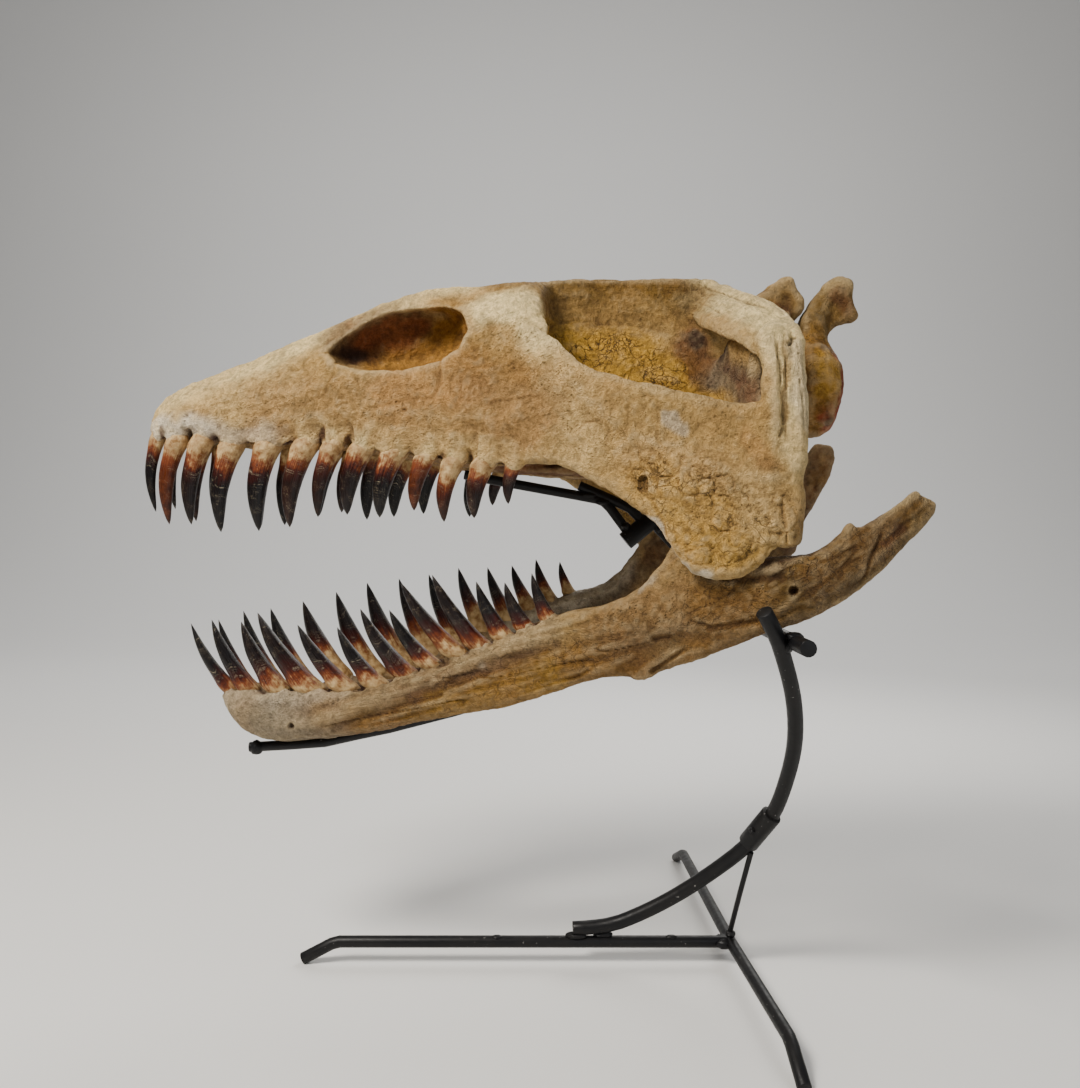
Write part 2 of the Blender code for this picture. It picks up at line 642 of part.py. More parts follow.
def centrum(name, centre_z, rings):
    """Round drum along X from (x, radius) pairs."""
    count = 14
    skin = []
    for x, radius in rings:
        turns = [2 * math.pi * i / count for i in range(count)]
        skin.append([(x, radius * math.cos(t), centre_z + radius * math.sin(t)) for t in turns])
    return loft(name, skin)


def blade(name, outline, half):
    """Upright plate of an (x, z) outline, thinner at its rim."""
    mid_x = sum(p[0] for p in outline) / len(outline)
    mid_z = sum(p[1] for p in outline) / len(outline)
    rings = []
    for y, size in ((-half, 0.8), (-half * 0.55, 1.0), (half * 0.55, 1.0), (half, 0.8)):
        rings.append([(mid_x + (x - mid_x) * size, y, mid_z + (z - mid_z) * size) for x, z in outline])
    return loft(name, rings)


def make_atlas():
    drum = centrum("atlas", 350, ((131.5, 20), (135, 26), (147, 27), (157, 27), (159.5, 23)))
    neck = loft("neck", [[(x, y, z) for x, y in ((139, -11), (157, -11), (157, 11), (139, 11))]
                         for z in (368, 397)])
    spine = blade("spine", ((134, 388), (137, 405.5), (147, 412.7), (154.3, 418), (159.8, 417.6),
                            (161, 410.2), (166.5, 403.5), (167, 399), (163.5, 393.8), (158, 388)), 6.5)
    return combine(drum, [neck, spine], "UNION")


def make_axis():
    drum = centrum("axis", 351, ((160.3, 24), (164, 29), (174, 31), (181, 27), (185, 19), (186.5, 10)))
    neck = loft("neck", [[(x, y, z) for x, y in ((164, -11), (179, -11), (179, 11), (164, 11))]
                         for z in (372, 394)])
    spine = blade("spine", ((163, 386), (166.5, 397), (171, 406), (180, 413.3), (187.2, 417.6),
                            (195, 415.5), (197, 404), (201.2, 394.4), (198.8, 388.3), (187, 387),
                            (181, 384)), 7)
    return combine(drum, [neck, spine], "UNION")


# --- stand ----------------------------------------------------------------------------


def smooth_route(points, step=16.0):
    """Points along a Catmull-Rom curve through the given ones."""
    places = [Vector(p) for p in points]
    ends = [2 * places[0] - places[1]] + places + [2 * places[-1] - places[-2]]
    route = []
    for a, b, c, d in zip(ends, ends[1:], ends[2:], ends[3:]):
        pieces = max(1, round((c - b).length / step))
        for i in range(pieces):
            t = i / pieces
            route.append(0.5 * (2 * b + (c - a) * t + (2 * a - 5 * b + 4 * c - d) * t * t
                                + (3 * b - a - 3 * c + d) * t ** 3))
    return route + [places[-1]]


def trim(bar, *neighbours):
    """Cut a bar where fattened copies of its neighbours' (route, radius) run."""
    tools = [tube("tool", route, radius + GAP) for route, radius in neighbours]
    return combine(bar, tools, "DIFFERENCE")


def level_feet(bar):
    """Cut off all that lies below the floor."""
    low = -20
    box = loft("ground", [[(x, y, z) for x, y in ((-300, -300), (300, -300), (300, 300), (-300, 300))]
                          for z in (low, 0)])
    return combine(bar, [box], "DIFFERENCE")


def make_stand():
    front = [(120, 0, LEG_Z), (-116, 0, LEG_Z), (-121, 0, LEG_Z - 1.3), (-138.5, 0, 2.6)]
    cross = [(116, 181, 2.2), (117.6, 161, LEG_Z - 1.5), (118, 156, LEG_Z), (122.3, 0, LEG_Z),
             (128.7, -110, LEG_Z), (129, -115, LEG_Z - 1.5), (129.3, -137, 2.2)]
    mast = smooth_route([(26, 0, 21), (40, 0, 22), (55, -1, 25.5), (79, -5, 38), (102, -12, 55),
                         (125, -25, 78.5), (138, -38, 101), (143, -53, 127), (143, -69, 152),
                         (138, -84, 177), (129, -98, 201), (122.5, -106.5, 214), (116, -112, 224.5)])
    bar = [(134, -127, 208), (134, 115, 208)]
    chin = [(129, 0, 206), (-47, 0, 153), (-105, 0, 139), (-125, 0, 134.5), (-171, 0, 131.6)]
    riser = [(129, 0, 211), (77, 0, 268)]
    clamp = [(78, 0, 273.5), (58, 0, 257)]
    collar = [(127, -27, 82), (138, -38.5, 102)]
    rail = smooth_route([(60, 0, 262), (52, 0, 273), (45, 0, 281), (34, 0, 284), (0, 0, 290.2),
                         (-40, 0, 297.6)])
    prop = [(68, 0, 270), (61, 0, 277), (30, 0, 291)]
    brace = [(128.5, -28, 77), (121.5, -3, 21)]
    made = {
        "stand_cross_leg": level_feet(tube("leg", cross, LEG_ROD)),
        "stand_front_leg": trim(level_feet(tube("leg", front, LEG_ROD)), (cross, LEG_ROD)),
        "stand_mast": trim(tube("mast", mast, ROD), (front, LEG_ROD), (bar, ROD)),
        "stand_cross_bar": tube("bar", bar, ROD),
        "stand_chin_rail": trim(tube("rail", chin, CHIN_ROD), (bar, ROD)),
        "stand_riser": trim(tube("riser", riser, ROD), (bar, ROD), (clamp, CLAMP_ROD)),
        "stand_clamp": tube("clamp", clamp, CLAMP_ROD),
        "stand_palate_rail": trim(tube("rail", rail, CHIN_ROD), (clamp, CLAMP_ROD)),
        "stand_palate_prop": trim(tube("prop", prop, CHIN_ROD), (clamp, CLAMP_ROD), (rail, CHIN_ROD)),
        "stand_mast_collar": trim(tube("collar", collar, COLLAR_ROD), (mast, ROD)),
        "stand_brace": trim(tube("brace", brace, BRACE_ROD), (mast, ROD), (front, LEG_ROD),
                            (cross, LEG_ROD), (collar, COLLAR_ROD)),
    }
    return made


# --- finish ---------------------------------------------------------------------------


def material(name, colour, roughness, metallic=0.0):
    made = bpy.data.materials.new(name)
    made.use_nodes = True
    surface = made.node_tree.nodes["Principled BSDF"]
    surface.inputs["Base Color"].default_value = (*colour, 1)
    surface.inputs["Roughness"].default_value = roughness
    surface.inputs["Metallic"].default_value = metallic
    return made


def finish(made):
    """Name the pieces, give each its material and centre the whole over the origin."""
    corners = [v.co for piece in made.values() for v in piece.data.vertices]
    centre = [(min(c[i] for c in corners) + max(c[i] for c in corners)) / 2 for i in (0, 1)]
    for name, piece in made.items():
        piece.name = name
        for vert in piece.data.vertices:
            vert.co.x -= centre[0]
            vert.co.y -= centre[1]
        look = (0.01, 0.01, 0.011) if name.startswith("stand_") else (0.56, 0.41, 0.22)
        piece.data.materials.clear()
        piece.data.materials.append(material(name, look, 0.45 if name.startswith("stand_") else 0.75))
        workshop.objects.unlink(piece)
        parts.objects.link(piece)
        piece.data.shade_smooth()
        piece.data.set_sharp_from_angle(angle=math.radians(35))


for old in list(bpy.data.objects):
    bpy.data.objects.remove(old)
parts = collection("plesiosaur_skull")
workshop = collection("workshop")

pieces = part_skull(make_skull())
for half_side, half_word in ((-1, "left"), (1, "right")):
    pieces.update(part_jaw(half_side, half_word))
pieces["atlas"] = make_atlas()
pieces["axis"] = make_axis()
pieces.update(make_stand())
finish(pieces)
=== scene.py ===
import math

import bmesh
import bpy
import numpy as np
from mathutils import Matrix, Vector


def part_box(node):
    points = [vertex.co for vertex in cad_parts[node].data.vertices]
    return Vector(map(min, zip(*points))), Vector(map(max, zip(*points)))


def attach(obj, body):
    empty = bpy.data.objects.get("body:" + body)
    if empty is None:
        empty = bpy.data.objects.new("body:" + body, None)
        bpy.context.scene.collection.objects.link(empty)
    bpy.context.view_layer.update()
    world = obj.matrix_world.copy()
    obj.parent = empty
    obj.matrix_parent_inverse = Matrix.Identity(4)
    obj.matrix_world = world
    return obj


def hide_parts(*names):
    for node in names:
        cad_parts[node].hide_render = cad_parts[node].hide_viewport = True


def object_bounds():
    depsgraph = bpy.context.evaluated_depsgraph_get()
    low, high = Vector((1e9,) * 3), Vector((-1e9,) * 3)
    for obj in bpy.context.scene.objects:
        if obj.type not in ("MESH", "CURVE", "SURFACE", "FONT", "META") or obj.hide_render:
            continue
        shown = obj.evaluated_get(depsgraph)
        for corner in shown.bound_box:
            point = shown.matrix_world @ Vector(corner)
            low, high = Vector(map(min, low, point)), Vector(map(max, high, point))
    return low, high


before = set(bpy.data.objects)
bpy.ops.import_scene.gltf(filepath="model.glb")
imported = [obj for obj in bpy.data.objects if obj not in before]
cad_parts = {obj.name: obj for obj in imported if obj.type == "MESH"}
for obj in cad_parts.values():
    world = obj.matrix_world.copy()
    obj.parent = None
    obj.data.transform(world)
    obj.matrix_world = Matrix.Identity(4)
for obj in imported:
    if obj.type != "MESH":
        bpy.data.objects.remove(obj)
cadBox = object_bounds()

# places are millimetres in the skull's own frame: snout toward -x, left side toward -y, floor at 0
mm = 0.001
hair = 0.01 * mm            # smallest distance that counts
barMiddle = (134, -6)       # x and y of the stand's cross bar, which ties this frame to the loaded one
barLow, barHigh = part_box("stand_cross_bar")
shift = Vector(((barLow.x + barHigh.x) / 2 - barMiddle[0] * mm,
                (barLow.y + barHigh.y) / 2 - barMiddle[1] * mm, 0))
sides = ((-1, "left"), (1, "right"))


def place(x, y, z):
    return Vector((x, y, z)) * mm + shift


def pickOnly(*things):
    if bpy.context.object and bpy.context.object.mode != "OBJECT":
        bpy.ops.object.mode_set(mode="OBJECT")
    bpy.ops.object.select_all(action="DESELECT")
    for thing in things:
        thing.select_set(True)
    bpy.context.view_layer.objects.active = things[0]


def addObject(name, data):
    made = bpy.data.objects.new(name, data)
    bpy.context.collection.objects.link(made)
    return made


def mendMesh(piece, merge=0):
    # merges doubled points, where asked, and turns the faces outward
    pickOnly(piece)
    bpy.ops.object.mode_set(mode="EDIT")
    bpy.ops.mesh.select_all(action="SELECT")
    if merge:
        bpy.ops.mesh.remove_doubles(threshold=merge)
    bpy.ops.mesh.normals_make_consistent(inside=False)
    bpy.ops.object.mode_set(mode="OBJECT")


def modify(piece, kind, **settings):
    # adds a modifier, sets it and applies it
    added = piece.modifiers.new(kind, kind)
    for key, value in settings.items():
        setattr(added, key, value)
    pickOnly(piece)
    bpy.ops.object.modifier_apply(modifier=added.name)


def colour(red, green, blue):
    parts = [c / 255 for c in (red, green, blue)]
    return tuple(c / 12.92 if c <= 0.04045 else ((c + 0.055) / 1.055) ** 2.4 for c in parts)


room = {
    "floorSize": (8, 5),
    "floorMiddle": (0, 0.5, 0),
    "floorTone": (0.74, 0.73, 0.71),
    "floorRoughness": 0.9,
    "wallStart": 2.9,       # floor points further back than this are drawn up into the back wall
    "wallHeight": 4,
    "wallBend": 1.6,
    "bendSteps": 12,
    "skyTone": (0.66, 0.66, 0.66),
    "skyPower": 0.34,
    "cameraPlace": (0, -600, 270),
    "lens": 32.56,
    "sensorHeight": 36,
    "imageHeight": 1088,
    "lensShift": (10, -24), # in dots of an image of that height
}

# name, place, target, power, size and tone of each lamp
lamps = [
    ("key", (-560, -520, 1000), (-10, 0, 260), 19, (0.36, 0.36), (1, 0.955, 0.88)),
    ("fill", (700, -900, 420), (-10, 0, 260), 3.4, (1.0, 1.0), (0.93, 0.96, 1)),
    ("rim", (350, 700, 800), (-10, 0, 260), 6, (0.6, 0.6), (1, 0.98, 0.94)),
    ("wallWash", (0, 900, 1500), (0, 2600, 500), 30, (2.4, 0.8), (1, 1, 1)),
]


def addLamp(name, spot, target, power, size, tone):
    bpy.ops.object.light_add(type="AREA", location=place(*spot))
    lamp = bpy.context.object
    lamp.name = name
    lamp.data.energy = power
    lamp.data.color = tone
    lamp.data.shape = "RECTANGLE"
    lamp.data.size, lamp.data.size_y = size
    lamp.rotation_euler = (place(*target) - place(*spot)).to_track_quat("-Z", "Y").to_euler()


def makeRoom():
    bpy.ops.mesh.primitive_plane_add(size=1)
    floor = bpy.context.object
    floor.name = "floor"
    floor.scale = (*room["floorSize"], 1)
    floor.location = room["floorMiddle"]
    bpy.ops.object.transform_apply(location=True, scale=True)
    bpy.ops.object.mode_set(mode="EDIT")
    bpy.ops.mesh.select_all(action="DESELECT")
    edit = bmesh.from_edit_mesh(floor.data)
    for point in edit.verts:
        point.select_set(point.co.y > room["wallStart"])
    edit.select_flush(True)
    bmesh.update_edit_mesh(floor.data)
    bpy.ops.mesh.extrude_region_move(TRANSFORM_OT_translate={"value": (0, 0, room["wallHeight"])})
    bpy.ops.object.mode_set(mode="OBJECT")
    modify(floor, "BEVEL", width=room["wallBend"], segments=room["bendSteps"], limit_method="ANGLE")
    bpy.ops.object.shade_smooth()
    paper = bpy.data.materials.new("studioPaper")
    paper.use_nodes = True
    surface = paper.node_tree.nodes["Principled BSDF"]
    surface.inputs["Base Color"].default_value = (*room["floorTone"], 1)
    surface.inputs["Roughness"].default_value = room["floorRoughness"]
    floor.data.materials.append(paper)

    world = bpy.data.worlds.new("softSky")
    bpy.context.scene.world = world
    world.use_nodes = True
    sky = world.node_tree.nodes["Background"]
    sky.inputs["Color"].default_value = (*room["skyTone"], 1)
    sky.inputs["Strength"].default_value = room["skyPower"]

    for lamp in lamps:
        addLamp(*lamp)
    bpy.ops.object.camera_add(location=place(*room["cameraPlace"]), rotation=(math.pi / 2, 0, 0))
    eye = bpy.context.object
    eye.name = "camera"
    eye.data.sensor_fit = "VERTICAL"
    eye.data.sensor_height = room["sensorHeight"]
    eye.data.lens = room["lens"]
    eye.data.shift_x, eye.data.shift_y = [step / room["imageHeight"] for step in room["lensShift"]]
    eye.data.clip_start = 0.01
    bpy.context.scene.camera = eye


makeRoom()
print("room ready")


def readVectors(rows, key):
    flat = np.empty(len(rows) * 3, np.float32)
    rows.foreach_get(key, flat)
    return flat.reshape(-1, 3).astype(float)


def readPoints(mesh):
    return (readVectors(mesh.vertices, "co") - np.array(shift)) / mm


def writePoints(mesh, points, clip=True):
    # clipped points are held a hair inside the box of the loaded nodes
    world = points * mm + np.array(shift)
    if clip:
        world = np.clip(world, np.array(cadBox[0]) + hair, np.array(cadBox[1]) - hair)
    mesh.vertices.foreach_set("co", world.astype(np.float32).ravel())
    mesh.update()


def readNormals(mesh):
    return readVectors(mesh.vertex_normals, "vector")


def addMark(mesh, key, values, kind="FLOAT"):
    # one number, vector or colour for each point, for the shaders
    field = {"FLOAT": "value", "FLOAT_VECTOR": "vector", "FLOAT_COLOR": "color"}[kind]
    mark = mesh.attributes.new(key, kind, "POINT")
    mark.data.foreach_set(field, np.asarray(values).astype(np.float32).ravel())


def cellNoise(cells, seed):
    # repeatable random value from 0 to 1 for each whole-numbered cell
    mixed = cells.astype(np.int64) @ np.array([374761393, 668265263, 2147483647]) + seed * 1274126177
    mixed = (mixed ^ (mixed >> 13)) * 1274126177 & 0xFFFFFFFF
    mixed = (mixed ^ (mixed >> 15)) * 2246822519 & 0xFFFFFFFF
    return ((mixed ^ (mixed >> 16)) & 0xFFFFFF) / 0xFFFFFF


def lumps(points, size, seed, octaves=1):
    # soft random bumps about so many millimetres across, from -1 to 1
    total = np.zeros(len(points))
    weight, spread = 1.0, 0.0
    for octave in range(octaves):
        spot = points * (2 ** octave / size)
        cell = np.floor(spot)
        part = spot - cell
        part = part * part * (3 - 2 * part)
        value = np.zeros(len(points))
        for corner in np.ndindex(2, 2, 2):
            share = np.ones(len(points))
            for axis in range(3):
                share *= part[:, axis] if corner[axis] else 1 - part[:, axis]
            value += share * cellNoise(cell + np.array(corner), seed + octave)
        total += weight * (value * 2 - 1)
        spread += weight
        weight *= 0.5
    return total / spread


def nearPath(points, path, radius):
    # 1 on the path, falling softly to 0 at the radius
    path = np.array(path, float).reshape(-1, 3)
    fall = np.zeros(len(points))
    inside = np.where(((points > path.min(0) - radius) & (points < path.max(0) + radius)).all(1))[0]
    if not len(inside):
        return fall
    near = points[inside]
    best = np.linalg.norm(near - path[0], axis=1)
    for start, end in zip(path, path[1:]):
        along = end - start
        part = np.clip((near - start) @ along / (along @ along), 0, 1)
        best = np.minimum(best, np.linalg.norm(near - start - part[:, None] * along, axis=1))
    fall[inside] = np.clip(1 - (best / radius) ** 2, 0, 1) ** 2
    return fall


def readEdges(mesh):
    flat = np.empty(len(mesh.edges) * 2, np.int32)
    mesh.edges.foreach_get("vertices", flat)
    return flat[0::2], flat[1::2]


def neighbourMean(values, a, b):
    # average of each point's neighbours over the edges from a to b
    size = len(values)
    count = np.maximum(np.bincount(a, minlength=size) + np.bincount(b, minlength=size), 1)
    return np.stack([(np.bincount(a, column[b], size) + np.bincount(b, column[a], size)) / count
                     for column in values.T], 1)


def noteHollows(piece, rounds):
    # how far each point lies below its smoothed surroundings, kept from before the piece is sawn
    mesh = piece.data
    points = readPoints(mesh)
    a, b = readEdges(mesh)
    soft = points.copy()
    for turn in range(rounds):
        soft = 0.4 * soft + 0.6 * neighbourMean(soft, a, b)
    addMark(mesh, "sunk", ((soft - points) * readNormals(mesh)).sum(1))
    addMark(mesh, "kept", np.ones(len(points)))


def recallHollows(mesh):
    # the kept values, with the points along the saw cuts filled in from their neighbours
    values = {}
    for key in ("sunk", "kept"):
        flat = np.zeros(len(mesh.vertices), np.float32)
        mesh.attributes[key].data.foreach_get("value", flat)
        values[key] = flat.astype(float)
        mesh.attributes.remove(mesh.attributes[key])
    a, b = readEdges(mesh)
    known = (values["kept"] > 0.5).astype(float)
    sunk = values["sunk"] * known
    for turn in range(6):
        if known.all():
            break
        near = neighbourMean(np.stack([sunk * known, known], 1), a, b)
        fill = (known == 0) & (near[:, 1] > 0)
        sunk[fill] = near[fill, 0] / near[fill, 1]
        known[fill] = 1
    return sunk


def melt(piece, spots):
    # smooths the surface around each (rounds, radius, path)
    mesh = piece.data
    points = readPoints(mesh)
    a, b = readEdges(mesh)
    for rounds, radius, path in spots:
        weight = np.minimum(1, 1.6 * nearPath(mirrorFold(points), path, radius))
        live = (weight[a] > 0) | (weight[b] > 0)
        index, packed = np.unique(np.concatenate([a[live], b[live]]), return_inverse=True)
        half = len(packed) // 2
        patch, share = points[index], weight[index, None] * 0.6
        for turn in range(rounds):
            patch = patch + share * (neighbourMean(patch, packed[:half], packed[half:]) - patch)
        points[index] = patch
    writePoints(mesh, points)


def strandSpots(points, path):
    # places measured from a path, slow along it and quick across, for grain that follows the path
    path = np.array(path, float)
    best = np.full(len(points), 1e9)
    spots = np.zeros_like(points)
    run = 0.0
    for start, end in zip(path, path[1:]):
        along = end - start
        length = np.linalg.norm(along)
        part = np.clip((points - start) @ along / length ** 2, 0, 1)
        off = points - start - part[:, None] * along
        away = np.linalg.norm(off, axis=1)
        closer = away < best
        spots[closer] = off[closer] + ((run + part[closer] * length) / 11)[:, None]
        best[closer] = away[closer]
        run += length
    return spots


def mirrorFold(points):
    folded = points.copy()
    folded[:, 1] = np.abs(folded[:, 1])
    return folded


# each tooth: place along the gum, lean of the tip, length, base radius, height of the gum, distance out,
# and its look: p pale root, f longer pale root, d dark, r red, o orange, w worn pale
fangs = {
    "upperLeft": [(-221, -1, 44, 3.6, 318.9, 14.5, "d"), (-207, -5, 50, 5.2, 317.2, 20.0, "o"),
                  (-192, -6, 49, 5.6, 316.0, 23.0, "p"), (-173, -7, 52, 6.2, 314.5, 25.2, "d"),
                  (-151, -6, 51, 6.6, 314.3, 28.4, "d"), (-128, -10, 49, 6.4, 313.8, 33.2, "r"),
                  (-112, -9, 42, 5.2, 312.7, 36.8, "r"), (-95, -9, 39, 6.4, 311.0, 38.6, "p"),
                  (-76, -9, 38, 6.4, 308.3, 42.0, "d"), (-58, -7, 31, 5.2, 305.5, 46.4, "o"),
                  (-42, -6, 35, 5.4, 303.5, 48.8, "w"), (-25, -6, 31, 5.8, 301.5, 51.8, "r"),
                  (-8, -4, 22, 4.0, 300.5, 55.8, "r")],
    "upperRight": [(-221, -1, 42, 3.6, 318.9, 14.5, "d"), (-206, -5, 48, 5.2, 317.0, 20.4, "r"),
                   (-193, -5, 48, 5.4, 316.1, 23.0, "d"), (-167, -5, 50, 6.2, 314.4, 26.2, "d"),
                   (-150, -7, 48, 6.4, 314.2, 28.6, "d"), (-127, -9, 42, 6.0, 313.8, 33.6, "d"),
                   (-113, -9, 39, 5.6, 312.8, 36.2, "r"), (-98, -8, 42, 6.0, 311.4, 38.4, "d"),
                   (-80, -9, 38, 6.0, 308.9, 41.8, "d"), (-63, -7, 33, 5.4, 306.2, 45.2, "d"),
                   (-50, -6, 31, 5.2, 304.5, 47.6, "r"), (-34, -6, 31, 5.4, 302.5, 50.4, "d"),
                   (-19, -6, 22, 4.4, 300.9, 54.0, "r")],
    "lowerLeft": [(-180, -24, 46, 4.0, 168.4, 6.2, "d"), (-168, -22, 46, 5.0, 169.9, 10.8, "d"),
                  (-149, -22, 45, 5.8, 170.5, 15.9, "r"), (-129, -31, 54, 6.8, 171.3, 20.3, "r"),
                  (-107, -28, 46, 6.0, 172.6, 26.8, "p"), (-88, -23, 40, 5.6, 175.4, 31.7, "d"),
                  (-71, -26, 45, 5.8, 182.3, 35.6, "r"), (-57, -23, 38, 5.4, 188.5, 38.8, "d"),
                  (-41, -32, 51, 6.0, 194.9, 42.5, "r"), (-28, -27, 48, 5.6, 199.4, 45.5, "r"),
                  (-14, -16, 35, 5.0, 204.4, 48.8, "d"), (-2, -12, 28, 4.4, 209.9, 51.5, "r"),
                  (11, -10, 27, 3.8, 215.4, 54.8, "r")],
    "lowerRight": [(-175, -18, 43, 4.0, 169.2, 8.2, "d"), (-160, -19, 47, 5.0, 170.1, 13.4, "d"),
                   (-143, -20, 48, 5.8, 170.7, 17.2, "d"), (-121, -23, 52, 6.8, 171.8, 22.6, "f"),
                   (-101, -23, 56, 7.0, 172.8, 28.4, "f"), (-82, -23, 57, 7.0, 177.3, 33.0, "f"),
                   (-64, -21, 51, 6.0, 185.4, 37.3, "f"), (-47, -19, 46, 5.6, 192.5, 41.0, "d"),
                   (-30, -17, 43, 5.4, 198.9, 45.0, "f"), (-13, -15, 37, 5.0, 204.8, 49.0, "f"),
                   (1, -13, 31, 4.6, 211.6, 52.2, "f"), (14, -10, 29, 4.2, 216.4, 55.7, "f"),
                   (27, -7, 22, 3.4, 221.0, 59.3, "f")],
}


def sideOf(row):
    return -1 if row.endswith("Left") else 1


def toothLine(row, tooth):
    # base and tip of one tooth
    x, lean, length, radius, gum, out, look = tooth
    side = sideOf(row)
    way = -1 if row.startswith("upper") else 1
    rise = math.sqrt(length ** 2 - lean ** 2)
    base = np.array([x, side * out, gum - way])
    tip = np.array([x + lean, side * (out + 1.5), gum + way * rise])
    return base, tip


def gumLine(row):
    # each tooth with its base, its direction and the place between it and the one before
    before = None
    for tooth in fangs[row]:
        base, tip = toothLine(row, tooth)
        between = None if before is None else (before + base) / 2
        yield tooth, base, (tip - base) / np.linalg.norm(tip - base), between
        before = base


# one smooth skin is made over each group of nodes, and sawn into bones once it is sculpted
skin = {
    "grow": 0.00024,        # closes the thin cuts between the nodes before they are skinned
    "voxel": 0.001,
    "smoothRounds": 22,
    "neckVoxel": 0.001,
    "neckRounds": 26,
    "hollowRounds": 24,
    "cut": 0.00005,         # thickness of the cuts that part the skin again
}


def copyNodes(names, label):
    # merged copies of CAD nodes, joined into one object
    pickOnly(*[addObject(label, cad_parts[name].data.copy()) for name in names])
    bpy.ops.object.join()
    joined = bpy.context.object
    joined.name = label
    joined.data.materials.clear()
    mendMesh(joined, hair)
    return joined


def tuckTeeth(piece, rows):
    # the blunt teeth of the solids go back into the gum, to be modelled again below
    points = readPoints(piece.data)
    for row in rows:
        for tooth in fangs[row]:
            base, tip = toothLine(row, tooth)
            along = tip - base
            length = np.linalg.norm(along)
            along /= length
            part = (points - base) @ along
            away = np.linalg.norm(points - base - part[:, None] * along, axis=1)
            mine = (part > 1.6) & (part < length + 2) & (away < tooth[3] * 1.25 + 2.5)
            points[mine] = base - along * 4
    writePoints(piece.data, points)


def makeSkin(piece, voxel, rounds):
    modify(piece, "DISPLACE", strength=skin["grow"], mid_level=0)
    modify(piece, "REMESH", mode="VOXEL", voxel_size=voxel)
    modify(piece, "SMOOTH", factor=0.5, iterations=rounds)


gum = {
    "collarPush": 5.4,      # bone drawn down along each tooth
    "collarSwell": 2.1,     # and outward round its root
    "collarWidth": 1.6,     # for a tooth radius of 1
    "swellWidth": 1.8,
    "notchRadius": 4.6,     # hollow between two teeth
    "notchRise": 2.6,
    "notchDepth": 1.8,
}


def sculpt(piece, strokes, rows=()):
    # strokes are (side, amount, radius, path); the side is 0 for both, -1 for left and 1 for right
    mesh = piece.data
    points = readPoints(mesh)
    for side, amount, radius, path in strokes:
        normals = readNormals(mesh)
        folded = mirrorFold(points)
        fall = nearPath(folded, path, radius) * amount
        if side:
            fall *= points[:, 1] * side > 0
        points = points + normals * fall[:, None]
    for row in rows:
        outward = np.array([0.0, sideOf(row), 0.0])
        for tooth, base, along, between in gumLine(row):
            collar = nearPath(points, [base + along * 2, base - along * 3], tooth[3] * gum["collarWidth"])
            swell = nearPath(points, [base + along * 2, base - along * 10], tooth[3] * gum["swellWidth"])
            points = points + collar[:, None] * along * gum["collarPush"]
            points = points + swell[:, None] * outward * gum["collarSwell"]
            if between is not None:
                notch = nearPath(points, [between + along * 2, between - along * 3], gum["notchRadius"])
                points = points - notch[:, None] * (along * gum["notchRise"] + outward * gum["notchDepth"])
    writePoints(mesh, points, clip=False)


def pull(piece, pulls):
    # moves the surface near each (side, shift, radius, path); a shift's y is outward from the middle
    points = readPoints(piece.data)
    for side, move, radius, path in pulls:
        fall = nearPath(mirrorFold(points), path, radius)
        if side:
            fall *= points[:, 1] * side > 0
        move = np.tile(np.array(move, float), (len(points), 1))
        move[:, 1] *= np.sign(points[:, 1])
        points = points + move * fall[:, None]
    writePoints(piece.data, points)


def roughen(piece, layers):
    # layers are (amount, size, octaves, seed, grain, places): drawn out along the grain, if it has one, and
    # all over, or only near the places (radius, path)
    mesh = piece.data
    points = readPoints(mesh)
    normals = readNormals(mesh)
    folded = mirrorFold(points)
    total = np.zeros(len(points))
    for amount, size, octaves, seed, grain, places in layers:
        spots = folded + (points[:, 1:2] > 0) * 57
        if grain:
            way = np.array(grain) / np.linalg.norm(grain)
            spots = spots - 0.86 * (spots @ way)[:, None] * way
        field = lumps(spots, size, seed, octaves)
        if octaves == 1:
            field = -np.clip(1 - np.abs(field) / 0.14, 0, 1) ** 1.5     # a single octave draws creases
        field = field * amount
        if places:
            mask = np.zeros(len(points))
            for radius, path in places:
                mask = np.maximum(mask, np.minimum(1, 1.6 * nearPath(folded, path, radius)))
            field *= mask
        total += field
    writePoints(mesh, points + normals * total[:, None])


def plate(name, first, second):
    # thin plate between two edges of the same number of points, used as a saw
    verts = [place(*p) for p in list(first) + list(second)]
    count = len(first)
    mesh = bpy.data.meshes.new(name)
    mesh.from_pydata(verts, [], [(i, i + 1, count + i + 1, count + i) for i in range(count - 1)])
    made = addObject(name, mesh)
    modify(made, "SOLIDIFY", thickness=skin["cut"], offset=0, use_even_offset=True)
    mendMesh(made)
    return made


def sawWith(piece, saws):
    for blade in saws:
        modify(piece, "BOOLEAN", operation="DIFFERENCE", solver="MANIFOLD", object=blade)
        bpy.data.objects.remove(blade)


def across(name, path, near, far):
    return plate(name, [(x, near, z) for x, z in path], [(x, far, z) for x, z in path])


def partInto(piece, places):
    # the sawn pieces, each given the name of the nearest place; crumbs go
    pickOnly(piece)
    bpy.ops.mesh.separate(type="LOOSE")
    loose = list(bpy.context.selected_objects)
    if piece not in loose:
        loose.append(piece)
    loose.sort(key=lambda o: -len(o.data.vertices))
    for crumb in loose[len(places):]:
        bpy.data.objects.remove(crumb)
    loose = loose[:len(places)]
    middles = {}
    for o in loose:
        points = readPoints(o.data)
        middles[o] = (points.min(0) + points.max(0)) / 2
    pairs = sorted((np.linalg.norm(middles[o] - np.array(spot)), name, o.name)
                   for o in loose for name, spot in places.items())
    made, used = {}, set()
    for gap, name, label in pairs:
        if name not in made and label not in used:
            made[name] = bpy.data.objects[label]
            used.add(label)
    for name, o in made.items():
        o.name = name + "_bone"
        o.data.name = o.name
    return made


